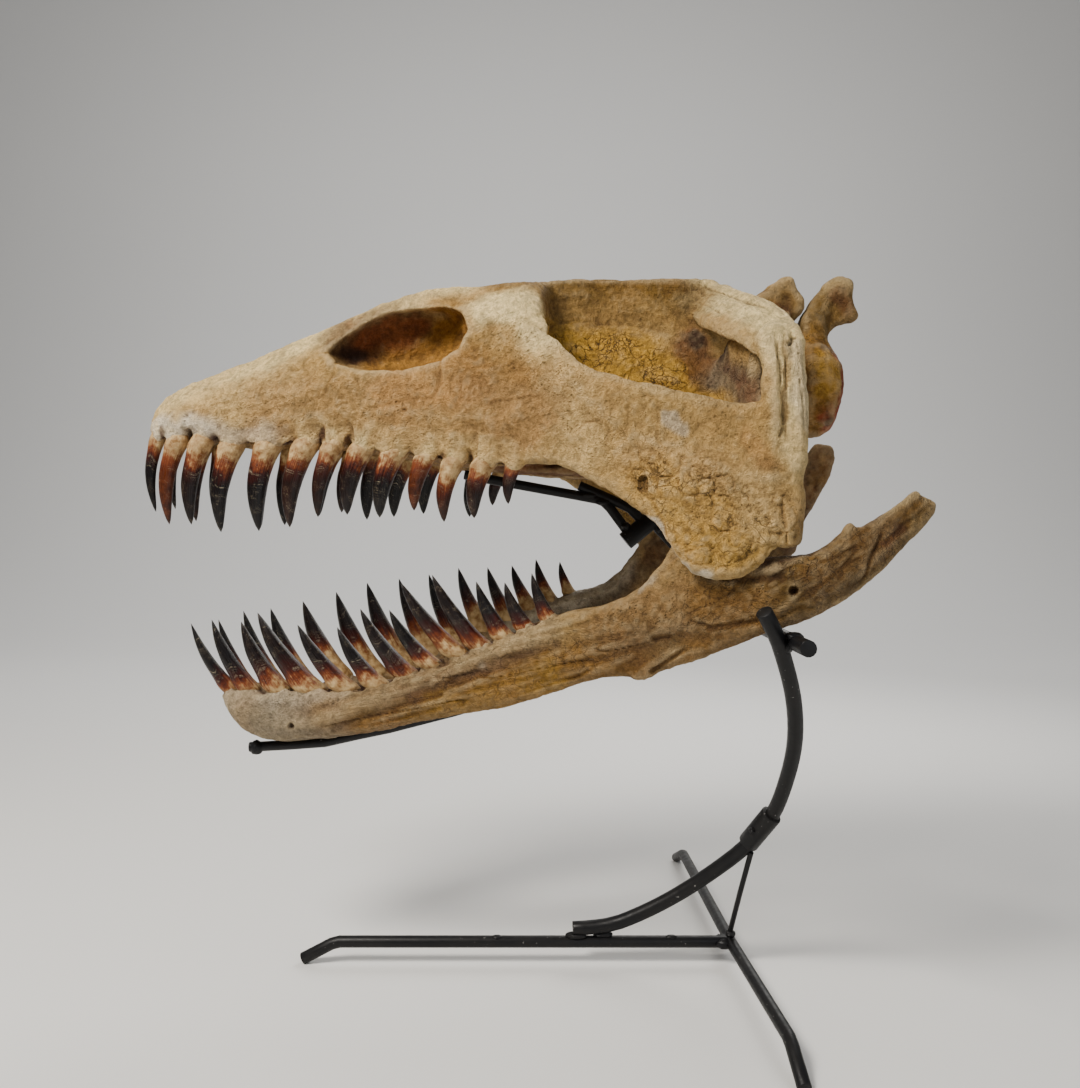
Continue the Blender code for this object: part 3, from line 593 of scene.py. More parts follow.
skullNodes = ["premaxilla_left", "premaxilla_right", "maxilla_left", "maxilla_right", "frontal",
              "parietal_crest", "braincase", "palate", "cheek_left", "cheek_right",
              "squamosal_arch_left", "squamosal_arch_right", "quadrate_left", "quadrate_right"]
jawNodes = ["lower_jaw_front_left", "lower_jaw_front_right", "lower_jaw_back_left", "lower_jaw_back_right"]

orbitRim = [(-119, 31, 367), (-112, 37, 359), (-97, 43, 355.5), (-72, 48, 355), (-52, 50, 359),
            (-40, 50, 367), (-34.5, 46, 378), (-38, 40, 389), (-50, 36, 397), (-66, 34, 397.5),
            (-84, 32, 393), (-100, 30, 385.5), (-112, 29, 376.5), (-119, 31, 367)]






roughPatch = [(17, [(60, 87, 296), (84, 94, 290), (106, 96, 284)]), (20, [(84, 94, 258), (108, 97, 258)]),
              (16, [(126, 98, 276), (128, 98, 262)])]

# each shape goes through its pulls, melts, strokes and layers, as those functions tell
skullShape = {
    "pulls": [
        (0, (0, 13, 0), 30, [(-6, 8, 426), (-4, 14, 408), (-2, 22, 396)]),  # crest's flank meets the brow
        (0, (0, 7, 0), 26, [(18, 10, 418), (20, 14, 402), (22, 22, 388)]),
        (0, (0, 0, 2.6), 13, [(-14, 4, 429), (-4, 4, 429), (8, 4, 430)]),
        (0, (1, 0, 11), 13, [(107, 28, 353), (113, 44, 352), (121, 64, 345)]),  # bone sheet in the window
        (0, (0, 0, 9), 10, [(112, 42, 362), (121, 66, 356)]),
        (0, (-5, 0, 0), 12, [(142, 97, 266), (142, 97, 252)]),
        (0, (-2.5, 0, 0), 12, [(143, 97, 290)]),
        (0, (0, -2.6, 0), 9, [(-21, 40, 366), (-21, 46, 378)]),
    ],
    "melts": [
        (300, 27, [(-18, 12, 420), (-14, 20, 414), (-8, 26, 404), (-2, 34, 394)]),
        (60, 16, [(92, 10, 404), (98, 16, 392), (106, 24, 378)]),
        (50, 12, [(126, 80, 380), (132, 90, 372)]),
        (160, 20, [(100, 22, 356), (106, 26, 344), (104, 30, 330)]),
        (40, 10, [(137, 97, 282), (139, 97, 270)]),
    ],
    "strokes": [
        (0, 0.8, 7, orbitRim),
        (0, 1.6, 13, [(-20, 46, 390), (-4, 46, 389)]),                      # boss behind the eye
        (0, 0.9, 9, [(6, 46, 385), (10, 50, 376)]),
        (0, -1.2, 12, [(-26, 50, 368), (-8, 56, 352), (-16, 56, 330)]),     # dish below the boss
        (0, 1.1, 7, [(11, 62, 363), (27, 72, 340), (44, 80, 322)]),         # ridge down onto the cheek
        (0, -1.0, 12, [(20, 68, 332), (36, 78, 316), (40, 80, 300)]),
        (0, -0.9, 16, [(-24, 55, 346), (7, 63, 335), (-5, 61, 323)]),
        (0, -1.6, 14, [(60, 85, 325), (96, 92, 320)]),                      # flat above the lobe
        (0, 1.3, 16, [(72, 92, 290), (96, 95, 284)]),                       # swelling of the lobe
        (0, 1.5, 18, [(92, 96, 262), (112, 97, 266)]),
        (0, 0.9, 5, [(46, 82, 307), (55, 85, 315), (72, 90, 307), (91, 93, 300), (111, 96, 291),
                     (129, 98, 292), (139, 97, 302)]),                      # edge of the rough lobe
        (0, -1.0, 3.0, [(86, 96, 262), (104, 97, 267), (122, 98, 263)]),
        (0, -1.1, 2.2, [(60, 88, 284), (63, 89, 281), (68, 91, 270), (70, 90, 262)]),
        (0, -0.8, 2.0, [(63, 89, 283), (75, 93, 280), (82, 95, 278)]),
        (0, -3.4, 3.0, [(58.3, 88, 290.5), (58.8, 88, 286.5)]),             # small hole in the cheek
        (0, -1.8, 2.8, [(136, 92, 366), (132.8, 95, 352), (131.6, 96, 342)]),       # bar's groove
        (0, -1.1, 2.4, [(131.8, 96, 344), (130.8, 96, 330)]),
        (0, -0.8, 1.8, [(131, 96, 332), (129.6, 97, 318), (126, 97, 306)]),
        (0, 1.3, 5, [(139, 96, 366), (139, 97, 340), (139, 98, 310)]),
        (0, 1.0, 5, [(124, 92, 362), (124, 96, 340), (126, 97, 318)]),
        (0, -2.4, 2.6, [(123, 88, 371)]),
        (0, -1.8, 2.2, [(134, 92, 361)]),
        (0, -0.8, 3, [(104, 10, 408), (118, 40, 398), (128, 62, 387)]),     # grain along the arch
        (0, -0.7, 2.6, [(100, 12, 400), (112, 38, 392), (120, 60, 381)]),
        (0, -0.7, 2.6, [(110, 16, 412), (124, 44, 402), (134, 66, 386)]),
        (0, 0.9, 4, [(96, 12, 394), (104, 32, 386), (112, 58, 374)]),
        (0, -2.0, 12, [(20, 12, 396), (60, 8, 392), (92, 10, 390)]),        # flank of the crest
        (0, 1.2, 8, [(18, 18, 372), (52, 16, 366), (84, 20, 352)]),
        (0, 0.8, 4, [(2, 3, 412), (52, 3, 415), (100, 3, 415)]),
        (0, -1.3, 5, [(-119, 26, 380), (-96, 26, 392)]),
        (0, -0.7, 6, [(-210, 12, 350), (-176, 18, 356)]),
        (0, -0.9, 10, [(-150, 30, 335), (-118, 38, 338)]),
        (0, 0.8, 10, [(-176, 26, 345), (-140, 30, 356)]),
        (0, -1.6, 1.7, [(-70, 50, 332)]),                                   # pin hole
        (0, -0.9, 3, [(-86, 43, 349), (-92, 43, 347)]),
        (0, -0.8, 3.4, [(-52, 48, 352)]),
        (0, -0.7, 3, [(-107, 41, 340)]),
        (0, -1.4, 2.2, [(8, 44, 388), (14, 40, 384), (20, 30, 380)]),
        (0, -1.4, 5, [(121, 92, 252), (128, 96, 262)]),
    ],
    "layers": [
        (0.9, 34, 2, 3, None, None),
        (0.75, 11, 3, 7, None, None),
        (0.5, 3.4, 2, 9, None, None),
        (2.0, 8, 3, 11, None, roughPatch),
        (1.3, 4.2, 2, 13, (26, 62, -26), [(20, [(104, 10, 404), (128, 62, 388)])]),
        (1.3, 3.8, 2, 17, (0, 2, -50), [(13, [(133, 94, 364), (134, 97, 326)])]),
        (1.2, 7, 2, 19, None, [(16, [(-200, 22, 326), (-100, 40, 322), (-20, 56, 312)])]),
        (1.0, 8, 2, 21, (40, 0, 4), [(26, [(20, 12, 392), (90, 10, 392)])]),
        (1.1, 9, 1, 24, None, roughPatch),
        (0.8, 5, 1, 26, None, roughPatch),
        (1.2, 6, 1, 25, (26, 62, -26), [(18, [(104, 10, 402), (126, 56, 390)])]),
        (1.2, 5, 1, 27, (0, 2, -50), [(12, [(134, 94, 362), (133, 97, 318)])]),
        (0.8, 13, 1, 28, (40, 0, 4), [(30, [(10, 30, 372), (60, 16, 376), (90, 18, 360)])]),
        (0.7, 15, 1, 33, None, [(30, [(-200, 16, 350), (-120, 32, 350), (-20, 54, 344), (60, 86, 322)])]),
    ],
}

jawShape = {
    "pulls": [
        (-1, (1.5, 0, 3.6), 6, [(163, 93, 266)]),                           # hook on the tail
        (-1, (0, 0, -2.4), 9, [(150, 97, 262)]),
    ],
    "strokes": [
        (0, 1.5, 9, [(-170, 14, 158), (-140, 24, 152), (-110, 32, 154)]),
        (0, 1.2, 6, [(-121, 33, 157), (-96, 38, 165), (-71, 44, 174), (-24, 55, 197), (24, 67, 213)]),
        (0, -1.2, 5, [(-112, 34, 150), (-71, 44, 166), (-24, 55, 187), (14, 64, 202)]),
        (0, -1.1, 8, [(-60, 46, 182), (-20, 54, 200)]),
        (0, 1.6, 12, [(36, 70, 206), (60, 76, 214), (76, 79, 226)]),
        (0, -1.4, 7, [(50, 74, 190), (70, 81, 206), (90, 87, 206)]),
        (0, -1.3, 2.4, [(93, 88, 213), (106, 92, 216), (117, 95, 218)]),
        (0, -1.6, 2.2, [(65, 75, 189), (74, 79, 196), (82, 83, 202)]),
        (0, -1.6, 3.0, [(66, 79, 207), (74, 81, 208)]),
        (0, 1.6, 5, [(58, 70, 186), (64, 73, 188)]),
        (0, -4.0, 2.4, [(-139, 29, 150)]),
        (0, -4.0, 2.8, [(134, 100, 234)]),
        (0, 1.3, 6, [(84, 88, 238), (108, 93, 241), (126, 97, 244)]),
        (0, -1.7, 4, [(99, 90, 240), (114, 94, 240), (128, 98, 241)]),
        (-1, -1.0, 5, [(178, 95, 256), (194, 93, 269)]),
        (-1, 0.9, 4, [(176, 96, 268), (200, 91, 284)]),
        (-1, -0.9, 2, [(170, 97, 238), (174, 97, 250), (180, 95, 262)]),
        (0, -0.8, 2.2, [(-40, 51, 178), (-20, 56, 186), (4, 62, 196)]),
        (0, -0.8, 2.2, [(-76, 43, 164), (-50, 48, 172)]),
        (0, -0.9, 2.4, [(0, 60, 206), (16, 65, 210), (30, 69, 214)]),
        (0, -1.2, 6, [(60, 74, 232), (74, 78, 250)]),
    ],
    "layers": [
        (0.7, 30, 2, 23, None, None),
        (0.6, 10, 3, 29, None, None),
        (0.4, 3.6, 2, 30, None, None),
        (1.5, 5, 2, 31, (150, 34, 46), [(20, [(-100, 38, 160), (-20, 56, 186), (50, 72, 200)])]),
        (1.4, 7, 3, 37, None, [(14, [(30, 70, 214), (80, 82, 222), (110, 93, 232)])]),
        (0.9, 4.4, 2, 39, (70, -10, 50), [(18, [(130, 98, 232), (170, 96, 250), (204, 90, 280)])]),
        (0.9, 6, 1, 34, (150, 34, 46), [(18, [(-110, 38, 156), (-20, 56, 184), (50, 72, 198)])]),
        (0.8, 6, 1, 36, (70, -10, 50), [(18, [(90, 90, 222), (134, 98, 236), (160, 96, 250)])]),
    ],
}


def carve(piece, shape, rows=()):
    if "pulls" in shape:
        pull(piece, shape["pulls"])
    if "melts" in shape:
        melt(piece, shape["melts"])
    sculpt(piece, shape["strokes"], rows)
    roughen(piece, shape["layers"])
    noteHollows(piece, skin["hollowRounds"])


def makeSkull():
    whole = copyNodes(skullNodes, "skull_skin")
    tuckTeeth(whole, ("upperLeft", "upperRight"))
    makeSkin(whole, skin["voxel"], skin["smoothRounds"])
    carve(whole, skullShape, ("upperLeft", "upperRight"))
    high, deep = 434, 284           # above and below all that is sawn
    eyeFront, eyeBack, roofSeam, gumSeam = (-118, 368), (-40, 376), (-20, 432), (6, 288)    # (x, z) each

    def seamX(z):
        # where the seam behind the eye runs at that height
        if z > eyeBack[1]:
            return eyeBack[0] + (z - eyeBack[1]) * (roofSeam[0] - eyeBack[0]) / (roofSeam[1] - eyeBack[1])
        return eyeBack[0] + (eyeBack[1] - z) * (gumSeam[0] - eyeBack[0]) / (eyeBack[1] - gumSeam[1])

    ridge = [(-245, high), (-142, high), eyeFront, eyeBack, gumSeam]
    saws = [
        plate("midline", [(x, 0, z) for x, z in ridge], [(x, 0, deep) for x, z in ridge]),
        across("premaxillaCut", [(-152, 405), (-140.5, 306)], -62, 62),
        across("browCut", [(-142, high), eyeFront, eyeBack, roofSeam], -82, 82),
        across("jugalCut", [eyeBack, gumSeam], -92, 92),
        across("crestFoot", [(seamX(358), 358), (142, 358)], -20.8, 20.8),
        across("palateTop", [(seamX(307), 307), (142, 307)], -28, 28),
    ]
    inner = [(4.6, high), (6.6, 404), (10.6, 388), (14.4, eyeBack[1]), (17.6, 366), (25, 347), (28, 328),
             (28, deep)]
    root = [(6.5, high), (13, 390), (20, 366), (20.8, 357.9)]
    for side in (-1, 1):
        saws += [
            plate("temple", [(seamX(z), side * y, z) for y, z in inner],
                  [(60, side * (y + 13), z) if z > 370 else (19, side * y, z) for y, z in inner]),
            plate("archRoot", [(82, side * y, z) for y, z in root], [(132, side * y, z) for y, z in root]),
            across("archFoot", [(108, 341), (152, 341)], side * 67, side * 112),
            across("quadrateCut", [(117, 222), (117, 300), (152, 300)], side * 76.5, side * 112),
            plate("wing", [(96, side * 70, 282), (96, side * 70, 304)],
                  [(132, side * 70, 282), (132, side * 70, 304)]),
            plate("sheet", [(103, side * 72, 309), (103, side * 72, 360)],
                  [(144, side * 72, 309), (144, side * 72, 360)]),
        ]
    sawWith(whole, saws)
    spots = {"frontal": (-75, 0, 392), "parietal_crest": (45, 0, 388), "braincase": (50, 0, 336),
             "palate": (60, 0, 298)}
    for side, word in sides:
        spots["premaxilla_" + word] = (-185, side * 18, 345)
        spots["maxilla_" + word] = (-73, side * 31, 342)
        spots["cheek_" + word] = (50, side * 52, 326)
        spots["squamosal_arch_" + word] = (118, side * 52, 377)
        spots["quadrate_" + word] = (126, side * 85, 273)
    return partInto(whole, spots)


def makeJaw():
    whole = copyNodes(jawNodes, "jaw_skin")
    tuckTeeth(whole, ("lowerLeft", "lowerRight"))
    makeSkin(whole, skin["voxel"], skin["smoothRounds"])
    carve(whole, jawShape, ("lowerLeft", "lowerRight"))
    saws = [plate("symphysis", [(-200, 0, 120), (-200, 0, 190)], [(-100, 0, 120), (-100, 0, 190)])]
    for side in (-1, 1):
        saws.append(across("jawCut", [(76, 262), (50, 158)], side * 28, side * 122))
    sawWith(whole, saws)
    spots = {}
    for side, word in sides:
        spots["lower_jaw_front_" + word] = (-56, side * 38, 190)
        spots["lower_jaw_back_" + word] = (134, side * 85, 240)
    return partInto(whole, spots)


bones = makeSkull()
print("skull", {name: len(o.data.vertices) for name, o in bones.items()})
bones.update(makeJaw())
print("lower jaw", {name: len(o.data.vertices) for name, o in bones.items() if name.startswith("lower")})


def neckLayers(seed):
    return [(1.2, 16, 2, seed, None, None), (0.7, 5, 3, seed + 5, None, None)]


neckShapes = {
    "atlas": {
        "melts": [(40, 14, [(150, 0, 380), (152, 0, 396)])],
        "strokes": [
            (0, -2.0, 8, [(152, 12, 396), (156, 8, 402)]),
            (0, 1.0, 5, [(147, 0, 411), (156, 0, 415)]),
            (0, -1.5, 6, [(147, 27, 350), (150, 22, 366)]),
        ],
        "layers": neckLayers(41),
    },
    "axis": {
        "melts": [(260, 24, [(182, 0, 394), (180, 0, 376), (174, 0, 362)])],
        "strokes": [
            (0, -2.4, 9, [(186, 9, 400), (183, 9, 392)]),
            (0, 1.2, 5, [(180, 0, 412), (188, 0, 415)]),
            (0, -2.0, 7, [(176, 14, 376), (178, 20, 366)]),
            (0, 1.4, 4, [(178, 27, 350), (177, 22, 334), (176, 10, 325)]),
            (0, -1.8, 8, [(170, 29, 344), (170, 28, 330)]),
        ],
        "layers": neckLayers(53),
    },
}

for neckName, neckShape in neckShapes.items():
    neckBone = copyNodes([neckName], neckName + "_bone")
    makeSkin(neckBone, skin["neckVoxel"], skin["neckRounds"])
    carve(neckBone, neckShape)
    bones[neckName] = neckBone
print("neck bones ready")


fangShape = {
    "sides": 20,
    "rings": 22,
    "rootDepth": 9,         # how far each tooth is set into the bone
    "rootTaper": 0.6,
    "rim": 0.2,             # swelling where it leaves the gum
    "rimPlace": 0.05,
    "rimReach": 0.11,
    "flatness": 0.86,       # thickness across the jaw for a width of 1
    "fullness": 1.05,
    "unevenness": 0.045,
    "lumpRound": 2.2,       # how quickly the lumps follow each other, round a tooth and along it
    "lumpAlong": 5,
    "wobble": 0.06,         # how far the edge of the crown strays
    "wobbleRound": 1.3,
    "wobbleAlong": 3,
    "frontReach": 0.05,     # how much further down the roots reach in front
    "tipRadius": 0.12,
    "outwardBow": 0.03,
}

# how the two rows differ; bow is how far the middle bows forward for a length of 1
fangRows = {
    "upper": {"wide": 1.06, "power": 2.1, "point": 0.62, "narrow": 0.16, "bow": 0.075, "stain": 0.0,
              "warmth": 1.0},
    "lower": {"wide": 1.22, "power": 1.4, "point": 0.8, "narrow": 0.0, "bow": 0.0465, "stain": 0.04,
              "warmth": 0.3},
}

# each look: where the dark crown starts, and how orange it is
fangLooks = {"d": (0.24, 0.0), "r": (0.26, 0.1), "o": (0.2, 0.6), "p": (0.3, 0.04), "w": (0.4, 0.3),
             "f": (0.36, 0.12)}
nearCrownShift = -0.1       # the lower left crowns are dark almost to the gum
crownVariety = 0.13


def makeFangPattern():
    # upright cone from 0 to 1 with evenly spaced rings, bent to each tooth's own line later
    bpy.ops.mesh.primitive_cone_add(vertices=fangShape["sides"], radius1=1, radius2=0.02, depth=1,
                                    location=(0, 0, 0.5), end_fill_type="NGON")
    cone = bpy.context.object
    bpy.ops.object.transform_apply(location=True)
    for step in range(1, fangShape["rings"]):
        bpy.ops.object.mode_set(mode="EDIT")
        bpy.ops.mesh.select_all(action="SELECT")
        bpy.ops.mesh.bisect(plane_co=(0, 0, step / fangShape["rings"]), plane_no=(0, 0, 1))
    bpy.ops.object.mode_set(mode="OBJECT")
    return cone, readVectors(cone.data.vertices, "co")


def growFangs(row, chosen, name):
    # copies of the pattern, each bent along its tooth's line, joined for one bone
    copies = []
    style = fangRows[row[:5]]
    side = sideOf(row)
    depth = fangShape["rootDepth"]
    angle = np.arctan2(fangPoints[:, 1], fangPoints[:, 0])
    cosine, sine = np.cos(angle), np.sin(angle)
    for index in chosen:
        tooth = fangs[row][index]
        radius = tooth[3]
        base, tip = toothLine(row, tooth)
        along = tip - base
        length = np.linalg.norm(along)
        t = (fangPoints[:, 2] * (length + depth) - depth) / length      # 0 at the gum, 1 at the tip
        clear = np.clip(t, 0, 1)
        width = radius * style["wide"] * (1 - clear ** style["power"]) ** style["point"]
        width = width * (1 - style["narrow"] * clear)
        rim = np.exp(-((t - fangShape["rimPlace"]) / fangShape["rimReach"]) ** 2)
        width = width * fangShape["fullness"] * (1 + fangShape["rim"] * rim)
        width = width * (1 - fangShape["rootTaper"] * np.clip(-t * length / depth, 0, 1))
        seed = index * 7 + len(row)
        ring = np.stack([cosine * fangShape["lumpRound"], sine * fangShape["lumpRound"],
                         t * fangShape["lumpAlong"] + seed * 3.1], 1)
        width = width * (1 + fangShape["unevenness"] * lumps(ring, 1.0, seed, 2))
        width[fangPoints[:, 2] > 0.995] = fangShape["tipRadius"]
        spots = base + along * t[:, None]
        spots[:, 0] -= length * style["bow"] * np.sin(math.pi * clear)
        spots[:, 1] += side * length * fangShape["outwardBow"] * np.sin(math.pi * clear)
        spots[:, 0] += cosine * width
        spots[:, 1] += sine * width * fangShape["flatness"]
        copy = addObject(name, fangPattern.data.copy())
        writePoints(copy.data, spots)

        crown, warmth = fangLooks[tooth[6]]
        crown += crownVariety * (cellNoise(np.array([[index, len(row), int(length)]]), 83)[0] - 0.5)
        if row == "lowerLeft":
            crown += nearCrownShift
        edge = np.stack([cosine * fangShape["wobbleRound"], sine * fangShape["wobbleRound"],
                         t * fangShape["wobbleAlong"] + seed], 1)
        wobble = fangShape["wobble"] * lumps(edge, 1.0, seed + 5)
        front = -fangShape["frontReach"] * cosine
        addMark(copy.data, "stain", np.full(len(t), style["stain"]))
        addMark(copy.data, "along", t + wobble + front - crown)
        addMark(copy.data, "warm", np.full(len(t), warmth * style["warmth"]))
        addMark(copy.data, "fibre", np.stack([cosine * 3, sine * 3, t * 0.7 + seed], 1), "FLOAT_VECTOR")
        copies.append(copy)
    pickOnly(*copies)
    bpy.ops.object.join()
    made = bpy.context.object
    made.name = name
    made.data.name = name
    mendMesh(made)
    bpy.ops.object.shade_smooth()
    return made


fangPattern, fangPoints = makeFangPattern()
teeth = []
for row, word in (("upperLeft", "left"), ("upperRight", "right")):
    teeth.append(growFangs(row, range(0, 5), "premaxilla_" + word + "_teeth"))
    teeth.append(growFangs(row, range(5, 13), "maxilla_" + word + "_teeth"))
for row, word in (("lowerLeft", "left"), ("lowerRight", "right")):
    teeth.append(growFangs(row, range(0, 13), "lower_jaw_" + word + "_teeth"))
bpy.data.objects.remove(fangPattern)
print("teeth", len(teeth), "sets")


tones = {
    # bone: the palest bone, also laid on lit tops as a painted highlight
    "bone": colour(250, 222, 158),
    "cream": colour(206, 172, 112),
    "tan": colour(172, 136, 76),
    "ochre": colour(150, 104, 28),
    "gold": colour(196, 148, 46),
    "rust": colour(92, 42, 16),
    "wine": colour(58, 16, 10),
    "ember": colour(150, 52, 16),
    "umber": colour(82, 54, 26),
    "rose": colour(146, 108, 60),
    "olive": colour(114, 82, 18),
    "amber": colour(128, 66, 24),
    "chalk": colour(214, 200, 174),
    "ash": colour(112, 98, 76),
    "orange": colour(170, 120, 62),
    "dark": colour(26, 14, 8),
}

# washes are (side, tone, strength, radius, path), laid one over the other
skullWashes = [
    # pale bone along the snout top: its own pale colour raised as a painted highlight where the light falls
    # from above
    (0, "bone", 0.75, 26, [(-215, 10, 348), (-150, 14, 376), (-90, 12, 400), (-40, 12, 414)]),
    (0, "cream", 0.4, 22, [(-206, 22, 334), (-150, 30, 344)]),
    (0, "rose", 0.5, 26, [(-150, 30, 335), (-90, 42, 336), (-30, 54, 330)]),
    (0, "orange", 0.55, 24, [(-72, 46, 344), (-36, 50, 350)]),
    (0, "rose", 0.75, 26, [(-24, 55, 348), (6, 63, 337), (-8, 61, 322)]),
    (0, "chalk", 1.0, 15, [(-222, 14, 324), (-205, 24, 319), (-192, 27, 318)]),
    (0, "chalk", 0.55, 12, [(-180, 28, 318), (-150, 33, 318)]),
    (0, "cream", 0.5, 12, [(-130, 38, 320), (-60, 49, 312), (-16, 57, 307)]),
    # pale bone on the boss behind the eye: a painted highlight where the light falls on it
    (0, "bone", 0.9, 20, [(-24, 44, 394), (2, 44, 390), (8, 54, 370)]),
    (0, "ochre", 0.35, 16, [(-28, 52, 362), (-4, 58, 354)]),
    (0, "cream", 0.5, 22, [(16, 66, 352), (32, 76, 330), (26, 72, 306)]),
    (0, "tan", 0.7, 24, [(50, 84, 330), (90, 90, 324), (118, 94, 318)]),
    (0, "cream", 0.5, 28, [(60, 88, 296), (86, 94, 286), (100, 96, 268)]),
    (0, "orange", 0.25, 24, [(60, 88, 296), (86, 94, 288), (100, 96, 272)]),
    (0, "gold", 0.45, 26, [(62, 88, 284), (88, 95, 270), (108, 97, 258)]),
    (0, "cream", 0.5, 16, [(112, 97, 286), (120, 97, 266)]),
    # black in the small hole of the cheek: painted shade inside the hole
    (0, "dark", 1.0, 2.2, [(58.3, 88, 291.5), (58.8, 88, 285.5)]),
    (0, "gold", 0.35, 14, [(84, 94, 256), (100, 97, 256)]),
    (0, "orange", 0.40, 9, [(112, 95, 312), (120, 96, 300)]),
    (0, "chalk", 0.5, 6, [(72, 88, 323), (80, 90, 320)]),
    # bright front edge of the cheek plate's lower lobe: a painted highlight where the light from the left
    # catches the edge
    (0, "chalk", 1.0, 5.5, [(63, 86, 268), (71, 88, 256), (82, 92, 244), (92, 93, 239)]),
    # this and the next two: pale bone over the top of the arch and down the bar, a painted highlight where
    # the light falls on them
    (0, "bone", 1.0, 22, [(104, 8, 408), (122, 46, 396), (132, 72, 380), (134, 92, 360)]),
    (0, "bone", 0.85, 15, [(134, 93, 362), (137, 97, 330)]),
    (0, "bone", 0.45, 17, [(136, 96, 330), (138, 97, 304)]),
    (0, "chalk", 0.4, 8, [(140, 94, 360), (141, 97, 322)]),
    (0, "ochre", 0.5, 3.6, [(134, 93, 361), (132, 95, 347), (131, 97, 334), (131, 97, 322)]),
    (0, "olive", 0.75, 30, [(-8, 14, 408), (20, 12, 402), (60, 7, 404), (92, 8, 402)]),
    (0, "gold", 0.9, 28, [(14, 30, 366), (50, 16, 368), (84, 20, 352)]),
    (0, "gold", 0.8, 24, [(20, 26, 372), (56, 14, 366)]),
    (0, "tan", 0.3, 14, [(20, 10, 396), (60, 8, 392), (92, 10, 390)]),
    (0, "olive", 0.9, 9, [(10, 3, 414), (60, 3, 415), (92, 3, 412)]),
    (0, "rust", 0.75, 16, [(96, 14, 376), (100, 20, 362), (104, 28, 350)]),
    (0, "ash", 0.85, 22, [(112, 30, 352), (122, 64, 338)]),
    (0, "rust", 0.6, 10, [(118, 56, 346), (124, 70, 330)]),
    (0, "wine", 0.6, 8, [(112, 34, 362), (114, 48, 352)]),
    (0, "gold", 0.75, 17, [(74, 20, 348), (96, 26, 338), (110, 46, 328)]),
    (0, "dark", 0.75, 9, [(98, 14, 378), (104, 24, 372), (110, 34, 366)]),
    (0, "umber", 0.8, 24, [(-108, 14, 374), (-70, 9, 388)]),
    (0, "ochre", 1.0, 26, [(-84, 10, 360), (-50, 14, 366), (-46, 24, 378)]),
    (0, "wine", 0.75, 14, [(-106, 12, 370), (-94, 9, 372)]),
    (0, "amber", 0.9, 16, [(-100, 9, 380), (-72, 8, 388)]),
    (0, "dark", 0.8, 9, [(-108, 13, 369), (-104, 10, 366)]),
    (0, "rust", 0.8, 22, [(-10, 20, 297), (40, 24, 297), (90, 30, 296), (120, 78, 293)]),
    (0, "rust", 0.5, 30, [(-190, 8, 322), (-100, 14, 310), (-20, 20, 300)]),
    (0, "umber", 0.6, 16, [(100, 80, 270), (128, 84, 262)]),
]

jawWashes = [
    (0, "ochre", 0.95, 26, [(-96, 40, 152), (-40, 52, 168), (20, 66, 186), (50, 74, 190)]),
    (0, "gold", 0.5, 18, [(-60, 46, 160), (10, 62, 182)]),
    (0, "chalk", 0.6, 28, [(-182, 8, 158), (-150, 20, 156), (-124, 28, 160)]),
    (0, "ash", 0.6, 26, [(-178, 8, 146), (-140, 22, 148), (-120, 30, 150)]),
    (0, "chalk", 0.6, 9, [(-186, 8, 160), (-184, 6, 150)]),
    (0, "chalk", 0.35, 14, [(-150, 22, 168), (-90, 36, 171), (-46, 47, 188), (10, 58, 210)]),
    (0, "tan", 0.5, 12, [(-118, 32, 158), (-60, 46, 178), (0, 60, 204), (40, 70, 222)]),
    (0, "rose", 0.7, 26, [(44, 74, 212), (76, 82, 222), (100, 90, 218)]),
    (0, "umber", 0.4, 22, [(60, 76, 200), (96, 88, 210), (130, 96, 226)]),
    (0, "ochre", 0.6, 16, [(90, 90, 200), (120, 96, 214)]),
    (0, "ochre", 0.6, 20, [(96, 90, 228), (134, 99, 236), (150, 99, 244)]),
    (0, "olive", 0.9, 26, [(140, 99, 240), (170, 97, 252), (204, 92, 280)]),
    (0, "ochre", 0.5, 14, [(150, 99, 246), (196, 94, 276)]),
    (0, "umber", 0.45, 18, [(150, 99, 240), (186, 95, 262)]),
    (0, "cream", 0.8, 6, [(170, 92, 269), (190, 90, 280), (206, 88, 287)]),
    (0, "cream", 0.4, 5, [(150, 97, 222), (180, 96, 242), (210, 90, 275)]),
    (0, "rust", 0.6, 5, [(182, 96, 258), (190, 95, 266)]),
    (0, "umber", 0.7, 8, [(86, 90, 240), (110, 93, 242), (128, 97, 244)]),
    (0, "wine", 0.8, 6, [(120, 94, 247), (132, 94, 250)]),
    (0, "chalk", 0.5, 4, [(60, 72, 232), (72, 78, 248), (80, 80, 258)]),
    (1, "rust", 0.75, 26, [(184, 88, 262), (200, 89, 300), (208, 89, 318)]),
    (1, "ochre", 0.6, 10, [(196, 92, 290), (206, 92, 312)]),
    (0, "rust", 0.6, 24, [(-120, 12, 158), (-60, 30, 172), (0, 44, 190)]),
    # this and the next: black in the two holes of the jaw, painted shade inside them
    (0, "dark", 0.9, 3.0, [(134, 99, 234)]),
    (0, "dark", 0.8, 2.4, [(-139, 28, 150)]),
    # this and the next: grey and pale band along the far jaw's upper rim, a painted highlight where the
    # light catches it
    (1, "ash", 0.95, 24, [(-6, 46, 204), (30, 58, 216), (62, 68, 236)]),
    (1, "chalk", 0.6, 16, [(-10, 46, 206), (30, 60, 222), (60, 70, 238)]),
    # dark umber on the inner face of the far jaw by its coronoid: painted shade
    (1, "umber", 0.95, 14, [(84, 73, 244), (90, 72, 254)]),
]

